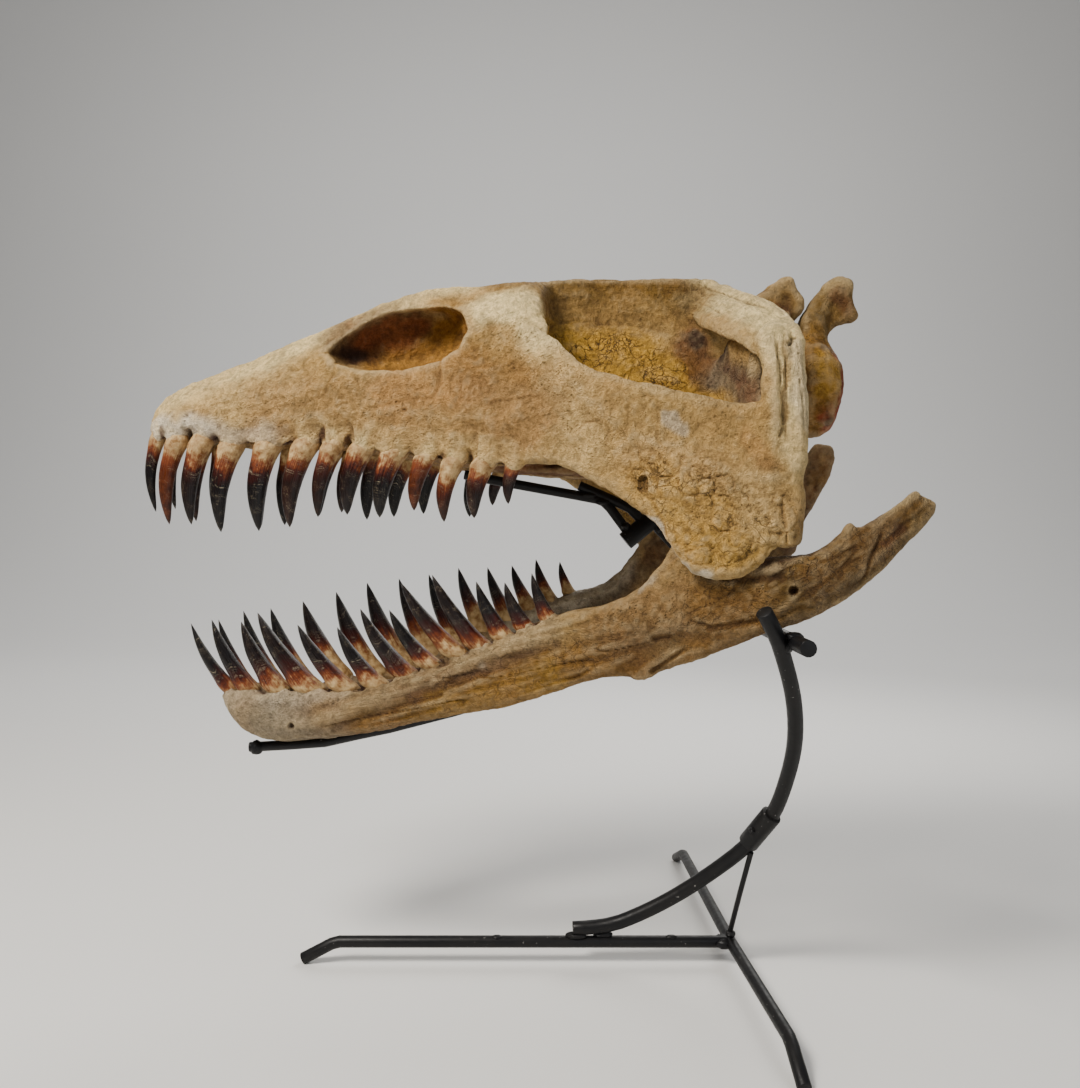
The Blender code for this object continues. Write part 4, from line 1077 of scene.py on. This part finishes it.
neckWashes = {
    "atlas": [
        (0, "olive", 0.6, 40, [(150, 0, 400)]),
        (0, "ochre", 0.7, 24, [(145, 20, 350), (155, 10, 370)]),
        (0, "rust", 0.6, 10, [(140, 4, 396), (152, 8, 394)]),
        (0, "cream", 0.6, 6, [(150, 3, 414), (160, 3, 417)]),
    ],
    "axis": [
        (0, "olive", 0.9, 60, [(176, 0, 350), (184, 0, 400)]),
        (0, "cream", 0.5, 10, [(180, 4, 412), (196, 4, 412)]),
        (0, "ochre", 0.9, 26, [(174, 24, 372), (175, 28, 348), (174, 22, 330)]),
        (0, "gold", 0.7, 12, [(174, 26, 366), (175, 28, 350)]),
        (0, "ember", 0.9, 11, [(185, 18, 366), (187, 17, 350), (185, 14, 336), (181, 13, 326)]),
        (0, "ember", 0.8, 9, [(172, 22, 330), (178, 18, 328)]),
        (0, "wine", 0.8, 6, [(174, 22, 374), (182, 18, 372)]),
        (0, "wine", 0.9, 7, [(176, 18, 327)]),
        (0, "rust", 0.55, 8, [(186, 8, 406), (192, 8, 398)]),
    ],
}

# where the shader draws cracks, fibres and pits: (kind, strength, radius, path)
skullMarks = [
    ("crackle", 1.0, 26, [(18, 26, 372), (56, 14, 366), (80, 20, 352)]),
    ("crackle", 0.8, 24, [(66, 90, 284), (96, 96, 274), (108, 97, 262)]),
    ("crackle", 0.35, 20, [(46, 82, 316), (60, 86, 318)]),
    ("crackle", 0.45, 26, [(100, 30, 352), (118, 60, 350)]),
    ("fibre", 1.0, 22, [(100, 6, 406), (122, 46, 394), (134, 76, 376)]),
    ("fibre", 0.9, 14, [(133, 94, 366), (134, 97, 326)]),
    ("fibre", 0.4, 18, [(134, 97, 326), (132, 97, 300)]),
    ("fibre", 0.6, 16, [(-210, 12, 350), (-150, 18, 374)]),
    ("pits", 1.0, 28, [(-10, 52, 368), (10, 62, 350), (30, 76, 318)]),
    ("pits", 0.9, 30, [(70, 90, 292), (96, 96, 270), (120, 98, 270)]),
    ("pits", 0.7, 26, [(-200, 22, 336), (-140, 34, 330), (-60, 48, 330)]),
    ("pits", 0.8, 14, [(-200, 24, 320), (-100, 42, 318), (-20, 58, 308)]),
    ("pits", 0.6, 24, [(60, 86, 328), (110, 94, 322)]),
]
jawMarks = [
    ("fibre", 0.75, 26, [(-110, 34, 154), (-40, 52, 174), (30, 68, 194), (60, 76, 198)]),
    ("crackle", 0.5, 20, [(-80, 42, 160), (-20, 56, 182), (40, 72, 202)]),
    ("fibre", 0.9, 22, [(100, 92, 214), (150, 99, 232), (196, 93, 268)]),
    ("pits", 1.0, 26, [(20, 66, 210), (70, 80, 216), (100, 90, 230), (150, 99, 240)]),
    ("pits", 0.9, 16, [(-150, 20, 168), (-60, 44, 184), (10, 60, 206)]),
    ("pits", 0.7, 20, [(170, 96, 250), (204, 90, 280)]),
    ("crackle", 0.5, 24, [(90, 88, 222), (140, 99, 236), (180, 96, 258)]),
]


def gumWashes(rows, collarTone):
    # pale collars round the teeth and dark red hollows between them
    hollows, collars = [], []
    for row in rows:
        side = sideOf(row)
        fold = np.array([1, side, 1])
        for tooth, base, along, between in gumLine(row):
            if between is not None:
                hollow = [(between + along * 3) * fold, (between - along * 2.5) * fold]
                hollows.append((side, "wine", 0.85, 5.2, hollow))
            collar = [(base + along * 4) * fold, (base - along * 5) * fold]
            collars.append((side, collarTone, 0.6, tooth[3] * 1.1 + 1, collar))
    return hollows + collars


wash = {
    "wander": 5,            # how far the edges of the washes stray
    "wanderPatch": 9,
    "wanderSeeds": (61, 67, 71),
    "creamShare": 0.45,
    "creamPatch": 38,
    "creamSeed": 73,
    "neckPits": [("pits", 0.8, 60, [(165, 0, 370)])],
    "neckDim": 0.8,
    # the lower jaw's whole tint is darkened: painted shade, as less light falls on it
    "jawPaintedShade": 0.7,
    "fullDepth": 0.8,       # hollow or bump that gets all the dirt and painted shade, or all the wear
}


def paint(piece, washes, marks, dim=1.0):
    # tint, dirt with painted shade in the hollows, wear and the marks of one bone, point by point; dim
    # darkens the whole tint, which on the lower jaw is painted shade
    mesh = piece.data
    points = readPoints(mesh)
    folded = mirrorFold(points)
    wander = np.stack([lumps(points, wash["wanderPatch"], seed, 2) for seed in wash["wanderSeeds"]], 1)
    roamed = folded + wander * wash["wander"]
    tint = np.tile(np.array(tones["tan"]), (len(points), 1))
    patches = lumps(points, wash["creamPatch"], wash["creamSeed"], 3)
    cream = wash["creamShare"] * np.clip(0.5 + 0.9 * patches, 0, 1)[:, None]
    tint = tint * (1 - cream) + np.array(tones["cream"]) * cream
    for side, tone, strength, radius, path in washes:
        fall = np.minimum(1, 1.7 * nearPath(roamed, path, radius)) * strength
        if side:
            fall = fall * (points[:, 1] * side > 0)
        tint = tint * (1 - fall[:, None]) + np.array(tones[tone]) * fall[:, None]
    sunk = recallHollows(mesh) / wash["fullDepth"]
    # dark in the hollows: partly dirt, partly painted shade where less light reaches
    addMark(mesh, "grime", np.clip(sunk, 0, 1))
    addMark(mesh, "wear", np.clip(-sunk, 0, 1))
    strands = np.zeros_like(points)
    for key in ("crackle", "fibre", "pits"):
        mask = np.zeros(len(points))
        for kind, strength, radius, path in marks:
            if kind == key:
                fall = np.minimum(1, 1.6 * nearPath(roamed, path, radius)) * strength
                if kind == "fibre":
                    stronger = fall > mask
                    strands[stronger] = strandSpots(folded[stronger], path)
                mask = np.maximum(mask, fall)
        addMark(mesh, key, mask)
    addMark(mesh, "strand", strands, "FLOAT_VECTOR")
    addMark(mesh, "tint", np.concatenate([tint * dim, np.ones((len(points), 1))], 1), "FLOAT_COLOR")


for name, bone in bones.items():
    if name in neckWashes:
        paint(bone, neckWashes[name], wash["neckPits"], wash["neckDim"])
    elif name.startswith("lower"):
        # the lower jaw's tint is darkened here as painted shade
        paint(bone, jawWashes + gumWashes(("lowerLeft", "lowerRight"), "chalk"), jawMarks, wash["jawPaintedShade"])
    else:
        paint(bone, skullWashes + gumWashes(("upperLeft", "upperRight"), "bone"), skullMarks)
print("bones painted")


class NodeBench:
    # short ways to add and join shader nodes
    def __init__(self, tree):
        self.tree = tree

    def add(self, kind, settings=None, **inputs):
        node = self.tree.nodes.new(kind)
        for key, value in (settings or {}).items():
            setattr(node, key, value)
        for key, value in inputs.items():
            self.feed(node, int(key[1:]) if key[0] == "i" and key[1:].isdigit() else key, value)
        return node

    def feed(self, node, key, value):
        socket = node.inputs[key]
        if isinstance(value, bpy.types.NodeSocket):
            self.tree.links.new(value, socket)
        else:
            socket.default_value = (*value, 1) if socket.type == "RGBA" else value

    def math(self, operation, a, b=0.0):
        return self.add("ShaderNodeMath", {"operation": operation}, i0=a, i1=b).outputs[0]

    def plus(self, a, b):
        return self.math("ADD", a, b)

    def minus(self, a, b):
        return self.math("SUBTRACT", a, b)

    def times(self, a, b):
        return self.math("MULTIPLY", a, b)

    def mix(self, factor, a, b, blend="MIX"):
        node = self.add("ShaderNodeMix", {"data_type": "RGBA", "blend_type": blend})
        self.feed(node, 0, factor)
        self.feed(node, 6, a)
        self.feed(node, 7, b)
        return node.outputs[2]

    def range(self, value, low, high, toLow=0.0, toHigh=1.0):
        return self.add("ShaderNodeMapRange", {}, i0=value, i1=low, i2=high, i3=toLow, i4=toHigh).outputs[0]

    def noise(self, spot, scale, detail=3.0, rough=0.55):
        node = self.add("ShaderNodeTexNoise", {"noise_dimensions": "3D"}, Vector=spot, Scale=scale,
                        Detail=detail, Roughness=rough)
        return node.outputs["Fac"]

    def cells(self, spot, scale, feature="F1"):
        node = self.add("ShaderNodeTexVoronoi", {"feature": feature}, Vector=spot, Scale=scale)
        return node.outputs["Distance"]

    def mark(self, name, output="Fac"):
        return self.add("ShaderNodeAttribute", {"attribute_name": name}).outputs[output]


def startMaterial(name):
    made = bpy.data.materials.new(name)
    made.use_nodes = True
    return made, NodeBench(made.node_tree), made.node_tree.nodes["Principled BSDF"]


def addBump(bench, surface, height, strength, distance):
    bump = bench.add("ShaderNodeBump", {}, Height=height)
    bump.inputs["Strength"].default_value = strength
    bump.inputs["Distance"].default_value = distance
    bench.feed(surface, "Normal", bump.outputs[0])


# noises are (scale, detail, roughness)
boneLook = {
    "grain": (900, 4, 0.7),
    "knobs": (330, 5, 0.62),
    "mottle": (95, 4, 0.6),
    "wide": (26, 3, 0.5),
    "gather": (130, 2, 0.5),
    "strands": (0.62, 5, 0.68),
    "smallPits": 620.0,
    "largePits": 240.0,
    "widePlates": 150.0,
    "smallPlates": 330.0,
    "plateWaves": 70.0,
    "plateBend": 0.018,
    "bump": 0.0028,
    "roughLow": 0.62,
    "roughHigh": 0.9,
    "specular": 0.35,
    "creaseAngle": 50,
    # tone for the hollows: dirt together with painted shade
    "dirtAndShadeTone": colour(66, 38, 16),
    "lineTone": colour(42, 24, 10),
    "wearTone": colour(216, 190, 144),
}


def makeBoneGroup():
    # shared surface of old bone: colour change, pits, fibres and cracks, as a tone factor and a height
    tree = bpy.data.node_groups.new("oldBone", "ShaderNodeTree")
    face = tree.interface
    for label, kind, default in (("Spot", "NodeSocketVector", None), ("Crackle", "NodeSocketFloat", 0),
                                 ("Fibre", "NodeSocketFloat", 0), ("Strand", "NodeSocketVector", None),
                                 ("Pits", "NodeSocketFloat", 0.3)):
        socket = face.new_socket(name=label, in_out="INPUT", socket_type=kind)
        if default is not None:
            socket.default_value = default
    for label, kind in (("Shade", "NodeSocketFloat"), ("Height", "NodeSocketFloat"),
                        ("Lines", "NodeSocketFloat"), ("Mottle", "NodeSocketFloat")):
        face.new_socket(name=label, in_out="OUTPUT", socket_type=kind)
    bench = NodeBench(tree)
    inside = tree.nodes.new("NodeGroupInput")
    outside = tree.nodes.new("NodeGroupOutput")
    spot = inside.outputs["Spot"]

    grain = bench.noise(spot, *boneLook["grain"])
    mottle = bench.noise(spot, *boneLook["mottle"])
    wide = bench.noise(spot, *boneLook["wide"])
    # porous pits of two sizes, broken up so that they gather in patches
    smallPits = bench.cells(spot, boneLook["smallPits"])
    largePits = bench.cells(spot, boneLook["largePits"])
    gather = bench.range(bench.noise(spot, *boneLook["gather"]), 0.44, 0.62)
    smallHole = bench.times(bench.range(smallPits, 0.40, 0.08), gather)
    largeHole = bench.times(bench.range(largePits, 0.26, 0.05), bench.range(wide, 0.45, 0.6))
    hole = bench.times(bench.math("MAXIMUM", smallHole, largeHole), inside.outputs["Pits"])
    # fibres drawn out along the bone
    strands = bench.noise(inside.outputs["Strand"], *boneLook["strands"])
    strandHeight = bench.times(bench.range(strands, 0.42, 0.56), inside.outputs["Fibre"])
    strandDark = bench.times(bench.range(strands, 0.46, 0.36), inside.outputs["Fibre"])
    # cracks between wavy plates
    wave = bench.add("ShaderNodeTexNoise", {}, Vector=spot, Scale=boneLook["plateWaves"],
                     Detail=4.0).outputs["Color"]
    bent = bench.add("ShaderNodeMix", {"data_type": "VECTOR"})
    bench.feed(bent, 0, boneLook["plateBend"])
    bench.feed(bent, 4, spot)
    bench.feed(bent, 5, wave)
    wideGap = bench.cells(bent.outputs[1], boneLook["widePlates"], "DISTANCE_TO_EDGE")
    smallGap = bench.cells(bent.outputs[1], boneLook["smallPlates"], "DISTANCE_TO_EDGE")
    wideCrack = bench.times(bench.range(wideGap, 0.055, 0.012), bench.range(mottle, 0.42, 0.56))
    smallCrack = bench.times(bench.range(smallGap, 0.07, 0.02), bench.range(wide, 0.5, 0.62))
    cracks = bench.times(bench.math("MAXIMUM", wideCrack, smallCrack), inside.outputs["Crackle"])

    knobs = bench.noise(spot, *boneLook["knobs"])
    shade = bench.range(mottle, 0.3, 0.7, 0.74, 1.18)
    shade = bench.times(shade, bench.range(grain, 0.3, 0.7, 0.74, 1.22))
    shade = bench.times(shade, bench.range(knobs, 0.36, 0.60, 0.68, 1.13))
    shade = bench.times(shade, bench.minus(1.0, bench.times(hole, 0.5)))
    lines = bench.math("MAXIMUM", cracks, bench.times(strandDark, 0.45))
    height = bench.times(grain, 0.8)
    height = bench.plus(height, bench.times(knobs, 2.0))
    height = bench.plus(height, bench.times(mottle, 0.8))
    height = bench.minus(height, bench.times(hole, 0.9))
    height = bench.plus(height, bench.times(strandHeight, 0.5))
    height = bench.minus(height, bench.times(cracks, 1.1))
    for label, value in (("Shade", shade), ("Height", height), ("Lines", lines), ("Mottle", wide)):
        bench.feed(outside, label, value)
    return tree


boneGroup = makeBoneGroup()

def makeBoneMaterial():
    made, bench, surface = startMaterial("fossilBone")
    spot = bench.add("ShaderNodeTexCoord").outputs["Object"]
    bone = bench.add("ShaderNodeGroup", {"node_tree": boneGroup}, Spot=spot, Crackle=bench.mark("crackle"),
                     Fibre=bench.mark("fibre"), Strand=bench.mark("strand", "Vector"),
                     Pits=bench.plus(bench.times(bench.mark("pits"), 0.8), 0.2))
    tint = bench.mark("tint", "Color")
    warm = bench.mix(bench.range(bone.outputs["Mottle"], 0.42, 0.66, 0.0, 0.35), tint,
                     bench.mix(0.5, tint, tones["orange"]))
    shaded = bench.mix(1.0, warm, bench.add("ShaderNodeCombineColor", {}, Red=bone.outputs["Shade"],
                                            Green=bone.outputs["Shade"],
                                            Blue=bone.outputs["Shade"]).outputs[0], "MULTIPLY")
    # hollows darkened brown: dirt together with painted shade
    hollowDarkened = bench.mix(bench.times(bench.mark("grime"), 0.55), shaded, boneLook["dirtAndShadeTone"])
    worn = bench.mix(bench.times(bench.mark("wear"), 0.35), hollowDarkened, boneLook["wearTone"])
    lined = bench.mix(bench.times(bone.outputs["Lines"], 0.85), worn, boneLook["lineTone"])
    bench.feed(surface, "Base Color", lined)
    bench.feed(surface, "Roughness", bench.range(bone.outputs["Shade"], 0.75, 1.2, boneLook["roughHigh"],
                                                 boneLook["roughLow"]))
    bench.feed(surface, "Specular IOR Level", boneLook["specular"])
    addBump(bench, surface, bone.outputs["Height"], 0.8, boneLook["bump"])
    return made


toothLook = {
    "root": colour(190, 160, 112),
    "tan": colour(128, 92, 50),
    "amber": colour(114, 54, 20),
    "wine": colour(50, 12, 6),
    "black": colour(10, 5, 5),
    "pale": colour(206, 190, 160),
    "streaks": (2.4, 4, 0.6),
    "fine": (9.0, 2, 0.5),
    "blotch": (210, 3, 0.6),
    "grain": (420, 4, 0.65),
    "ringSpread": 26.0,
    "crownCoat": 0.16,
    "coatRoughness": 0.35,
    "specular": 0.24,
    "bump": 0.0004,
}


def makeToothMaterial():
    made, bench, surface = startMaterial("toothEnamel")
    spot = bench.add("ShaderNodeTexCoord").outputs["Object"]
    fibre = bench.mark("fibre", "Vector")
    streaks = bench.noise(fibre, *toothLook["streaks"])
    fine = bench.noise(fibre, *toothLook["fine"])
    blotch = bench.noise(spot, *toothLook["blotch"])
    warm = bench.mark("warm")
    along = bench.plus(bench.mark("along"), bench.range(streaks, 0.3, 0.7, -0.06, 0.06))
    along = bench.plus(along, bench.range(blotch, 0.3, 0.7, -0.07, 0.07))
    crown = bench.mix(bench.range(along, -0.03, 0.08), toothLook["amber"], toothLook["wine"])
    dark = bench.mix(bench.range(bench.minus(along, bench.mark("stain")), 0.04, 0.24), crown,
                     toothLook["black"])
    warmed = bench.mix(bench.times(warm, bench.range(blotch, 0.35, 0.6, 0.25, 0.85)), dark,
                       toothLook["amber"])
    root = bench.mix(bench.range(blotch, 0.35, 0.65), toothLook["root"], toothLook["tan"])
    rooted = bench.mix(bench.range(along, -0.01, -0.12), warmed, root)
    # fine pale cracks across the enamel, here and there
    spread = bench.times(bench.mark("along"), toothLook["ringSpread"])
    level = bench.add("ShaderNodeCombineXYZ", {}, X=spread, Y=bench.times(streaks, 2.0), Z=warm).outputs[0]
    rings = bench.noise(level, 1.0, 1, 0.5)
    ringEdge = bench.math("ABSOLUTE", bench.minus(rings, 0.5))
    scratch = bench.times(bench.range(ringEdge, 0.012, 0.003), bench.range(blotch, 0.5, 0.6))
    final = bench.mix(bench.times(scratch, 0.35), rooted, toothLook["pale"])
    bench.feed(surface, "Base Color", final)
    rough = bench.range(along, -0.12, 0.12, 0.68, 0.27)
    bench.feed(surface, "Roughness", bench.plus(rough, bench.range(fine, 0.3, 0.7, -0.05, 0.08)))
    bench.feed(surface, "Coat Weight", bench.range(along, 0.0, 0.3, 0.0, toothLook["crownCoat"]))
    bench.feed(surface, "Coat Roughness", toothLook["coatRoughness"])
    bench.feed(surface, "Specular IOR Level", toothLook["specular"])
    height = bench.plus(bench.times(streaks, 0.7), bench.times(fine, 0.35))
    grain = bench.times(bench.noise(spot, *toothLook["grain"]),
                        bench.range(along, 0.0, -0.12, 0.3, 3.4))
    addBump(bench, surface, bench.plus(height, grain), 0.8, toothLook["bump"])
    return made


paintLook = {
    "base": (0.006, 0.006, 0.007),
    "worn": (0.014, 0.013, 0.012),
    "chip": (0.20, 0.19, 0.18),
    "skin": (260, 4, 0.6),
    "brush": (46, 3, 0.5),
    "chips": (520, 2, 0.5),
    "specular": 0.2,
    "bump": 0.00025,
}


def makePaintMaterial():
    made, bench, surface = startMaterial("blackRodPaint")
    bench.feed(surface, "Specular IOR Level", paintLook["specular"])
    spot = bench.add("ShaderNodeTexCoord").outputs["Object"]
    skinNoise = bench.noise(spot, *paintLook["skin"])
    brush = bench.noise(spot, *paintLook["brush"])
    chips = bench.times(bench.range(bench.noise(spot, *paintLook["chips"]), 0.70, 0.73),
                        bench.range(brush, 0.52, 0.6))
    base = bench.mix(bench.range(brush, 0.35, 0.65, 0.0, 0.5), paintLook["base"], paintLook["worn"])
    bench.feed(surface, "Base Color", bench.mix(bench.times(chips, 0.7), base, paintLook["chip"]))
    bench.feed(surface, "Roughness", bench.range(skinNoise, 0.3, 0.7, 0.34, 0.52))
    addBump(bench, surface, skinNoise, 0.6, paintLook["bump"])
    return made


boneMaterial = makeBoneMaterial()
toothMaterial = makeToothMaterial()
rodMaterial = makePaintMaterial()

for name, bone in bones.items():
    pickOnly(bone)
    bpy.ops.object.shade_smooth_by_angle(angle=math.radians(boneLook["creaseAngle"]))
    bone.data.materials.clear()
    bone.data.materials.append(boneMaterial)
    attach(bone, "root")
    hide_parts(name)
for piece in teeth:
    piece.data.materials.clear()
    piece.data.materials.append(toothMaterial)
    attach(piece, "root")
print("bones and teeth finished")


stand = {
    "rod": 4.25,
    "leg": 3.6,
    "rail": 3.0,
    "brace": 1.6,
    "clamp": 5.8,
    "collar": 6.0,
    "legHeight": 13,
    "endRound": 0.5,
    "endAngle": 50,
    "creaseAngle": 40,
    "beadWaves": 0.22,
}


def smoothRoute(points, step=7.0):
    # Catmull-Rom curve through the given places
    places = [Vector(p) for p in points]
    ends = [2 * places[0] - places[1]] + places + [2 * places[-1] - places[-2]]
    route = []
    for a, b, c, d in zip(ends, ends[1:], ends[2:], ends[3:]):
        pieces = max(1, round((c - b).length / step))
        for i in range(pieces):
            t = i / pieces
            route.append(0.5 * (2 * b + (c - a) * t + (2 * a - 5 * b + 4 * c - d) * t * t
                                + (3 * b - a - 3 * c + d) * t ** 3))
    return route + [places[-1]]


def makeRod(name, route, radius, level=False):
    # round bar with softened ends; a leg is cut level with the floor
    curve = bpy.data.curves.new(name, "CURVE")
    curve.dimensions = "3D"
    curve.bevel_depth = radius * mm
    curve.bevel_resolution = 5
    curve.use_fill_caps = True
    spline = curve.splines.new("POLY")
    spline.points.add(len(route) - 1)
    for point, spot in zip(spline.points, route):
        point.co = (*place(*spot), 1)
    pickOnly(addObject(name, curve))
    bpy.ops.object.convert(target="MESH")
    rod = bpy.context.object
    mendMesh(rod, hair)
    if level:
        bpy.ops.object.mode_set(mode="EDIT")
        bpy.ops.mesh.select_all(action="SELECT")
        bpy.ops.mesh.bisect(plane_co=(0, 0, hair), plane_no=(0, 0, 1), clear_inner=True, use_fill=True)
        mendMesh(rod)
    modify(rod, "BEVEL", width=stand["endRound"] * mm, segments=2, limit_method="ANGLE",
           angle_limit=math.radians(stand["endAngle"]))
    return rod


def makeBead(spot, reach, seed):
    # lump of weld
    bpy.ops.mesh.primitive_ico_sphere_add(subdivisions=3, radius=1)
    bead = bpy.context.object
    ball = readVectors(bead.data.vertices, "co")
    size = 1 + stand["beadWaves"] * lumps(ball * 2.2 + seed, 1.0, seed, 2)
    writePoints(bead.data, np.array(spot, float) + ball * size[:, None] * np.array(reach))
    return bead


def addRod(name, route, radius, beads=(), level=False):
    rod = makeRod(name + "_rod", route, radius, level)
    parts = [rod] + [makeBead(spot, reach, i + len(name)) for i, (spot, reach) in enumerate(beads)]
    pickOnly(*parts)
    if len(parts) > 1:
        bpy.ops.object.join()
    made = bpy.context.object
    made.name = name + "_rod"
    made.data.name = made.name
    bpy.ops.object.shade_smooth_by_angle(angle=math.radians(stand["creaseAngle"]))
    made.data.materials.clear()
    made.data.materials.append(rodMaterial)
    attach(made, "root")
    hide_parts(name)


def makeStand():
    # each rod has its route, its radius and its beads of weld: (place, reach)
    h, leg, rod, rail = [stand[key] for key in ("legHeight", "leg", "rod", "rail")]
    addRod("stand_cross_leg", [(116, 181, 2.2), (117.6, 161, h - 1.5), (118, 156, h), (122.3, 0, h),
                               (128.7, -110, h), (129, -115, h - 1.5), (129.3, -137, 2.2)], leg, level=True)
    addRod("stand_front_leg", [(120, 0, h), (-116, 0, h), (-121, 0, h - 1.3), (-138.5, 0, 2.6)], leg,
           [((118, -4, h), (5, 2.4, 3)), ((118, 4, h), (5, 2.4, 3)), ((-20, -1, h + 3.2), (3, 2, 1.2)),
            ((86, -1, h + 3.2), (3.4, 2, 1.3))], level=True)
    mastRoute = [(26, 0, 21), (40, 0, 22), (55, -1, 25.5), (79, -5, 38), (102, -12, 55), (125, -25, 78.5),
                 (138, -38, 101), (143, -53, 127), (143, -69, 152), (138, -84, 177), (129, -98, 201),
                 (122.5, -106.5, 214), (116, -112, 224.5)]
    addRod("stand_mast", smoothRoute(mastRoute), rod,
           [((28, -1, h + 4.2), (6.5, 3.2, 2.0)), ((44, 0, h + 4.4), (6, 2.6, 2.2))])
    addRod("stand_cross_bar", [(134, -127, 208), (134, 0, 208), (134, 115, 208)], rod,
           [((130, -101, 206), (3.6, 4.6, 3.6)), ((133, -105, 211.5), (4.4, 4, 2.4)),
            ((130, 0, 206), (3.4, 4.4, 3.2))])
    chinRoute = [(129, 0, 206), (-47, 0, 153), (-105, 0, 139), (-125, 0, 134.5), (-171, 0, 131.6)]
    addRod("stand_chin_rail", smoothRoute(chinRoute, 24), rail, [((-166.5, -0.5, 131.4), (4, 4.3, 4.3))])
    addRod("stand_riser", [(129, 0, 211), (103, 0, 239.5), (77, 0, 268)], rod,
           [((80, 0, 265), (4.6, 5, 4.6))])
    addRod("stand_clamp", [(78, 0, 273.5), (68, 0, 265.2), (58, 0, 257)], stand["clamp"],
           [((58, -1, 266), (3, 4, 3))])
    palateRoute = [(60, 0, 262), (52, 0, 273), (45, 0, 281), (34, 0, 284), (0, 0, 290.2), (-40, 0, 297.6)]
    addRod("stand_palate_rail", smoothRoute(palateRoute), rail,
           [((44, -1.5, 281), (4.5, 2.6, 2.2)), ((36, -1.5, 285), (5, 2.4, 2))])
    addRod("stand_palate_prop", smoothRoute([(68, 0, 270), (61, 0, 277), (30, 0, 291)]), rail)
    addRod("stand_mast_collar", [(127, -27, 82), (132.5, -32.7, 92), (138, -38.5, 102)], stand["collar"],
           [((127, -36, 92), (1.6, 2.4, 1.6))])
    addRod("stand_brace", [(128.5, -28, 77), (125, -15, 49), (121.5, -3, 21)], stand["brace"],
           [((121.5, -3, 19), (3, 2.6, 2.4))])


makeStand()
print("stand ready")
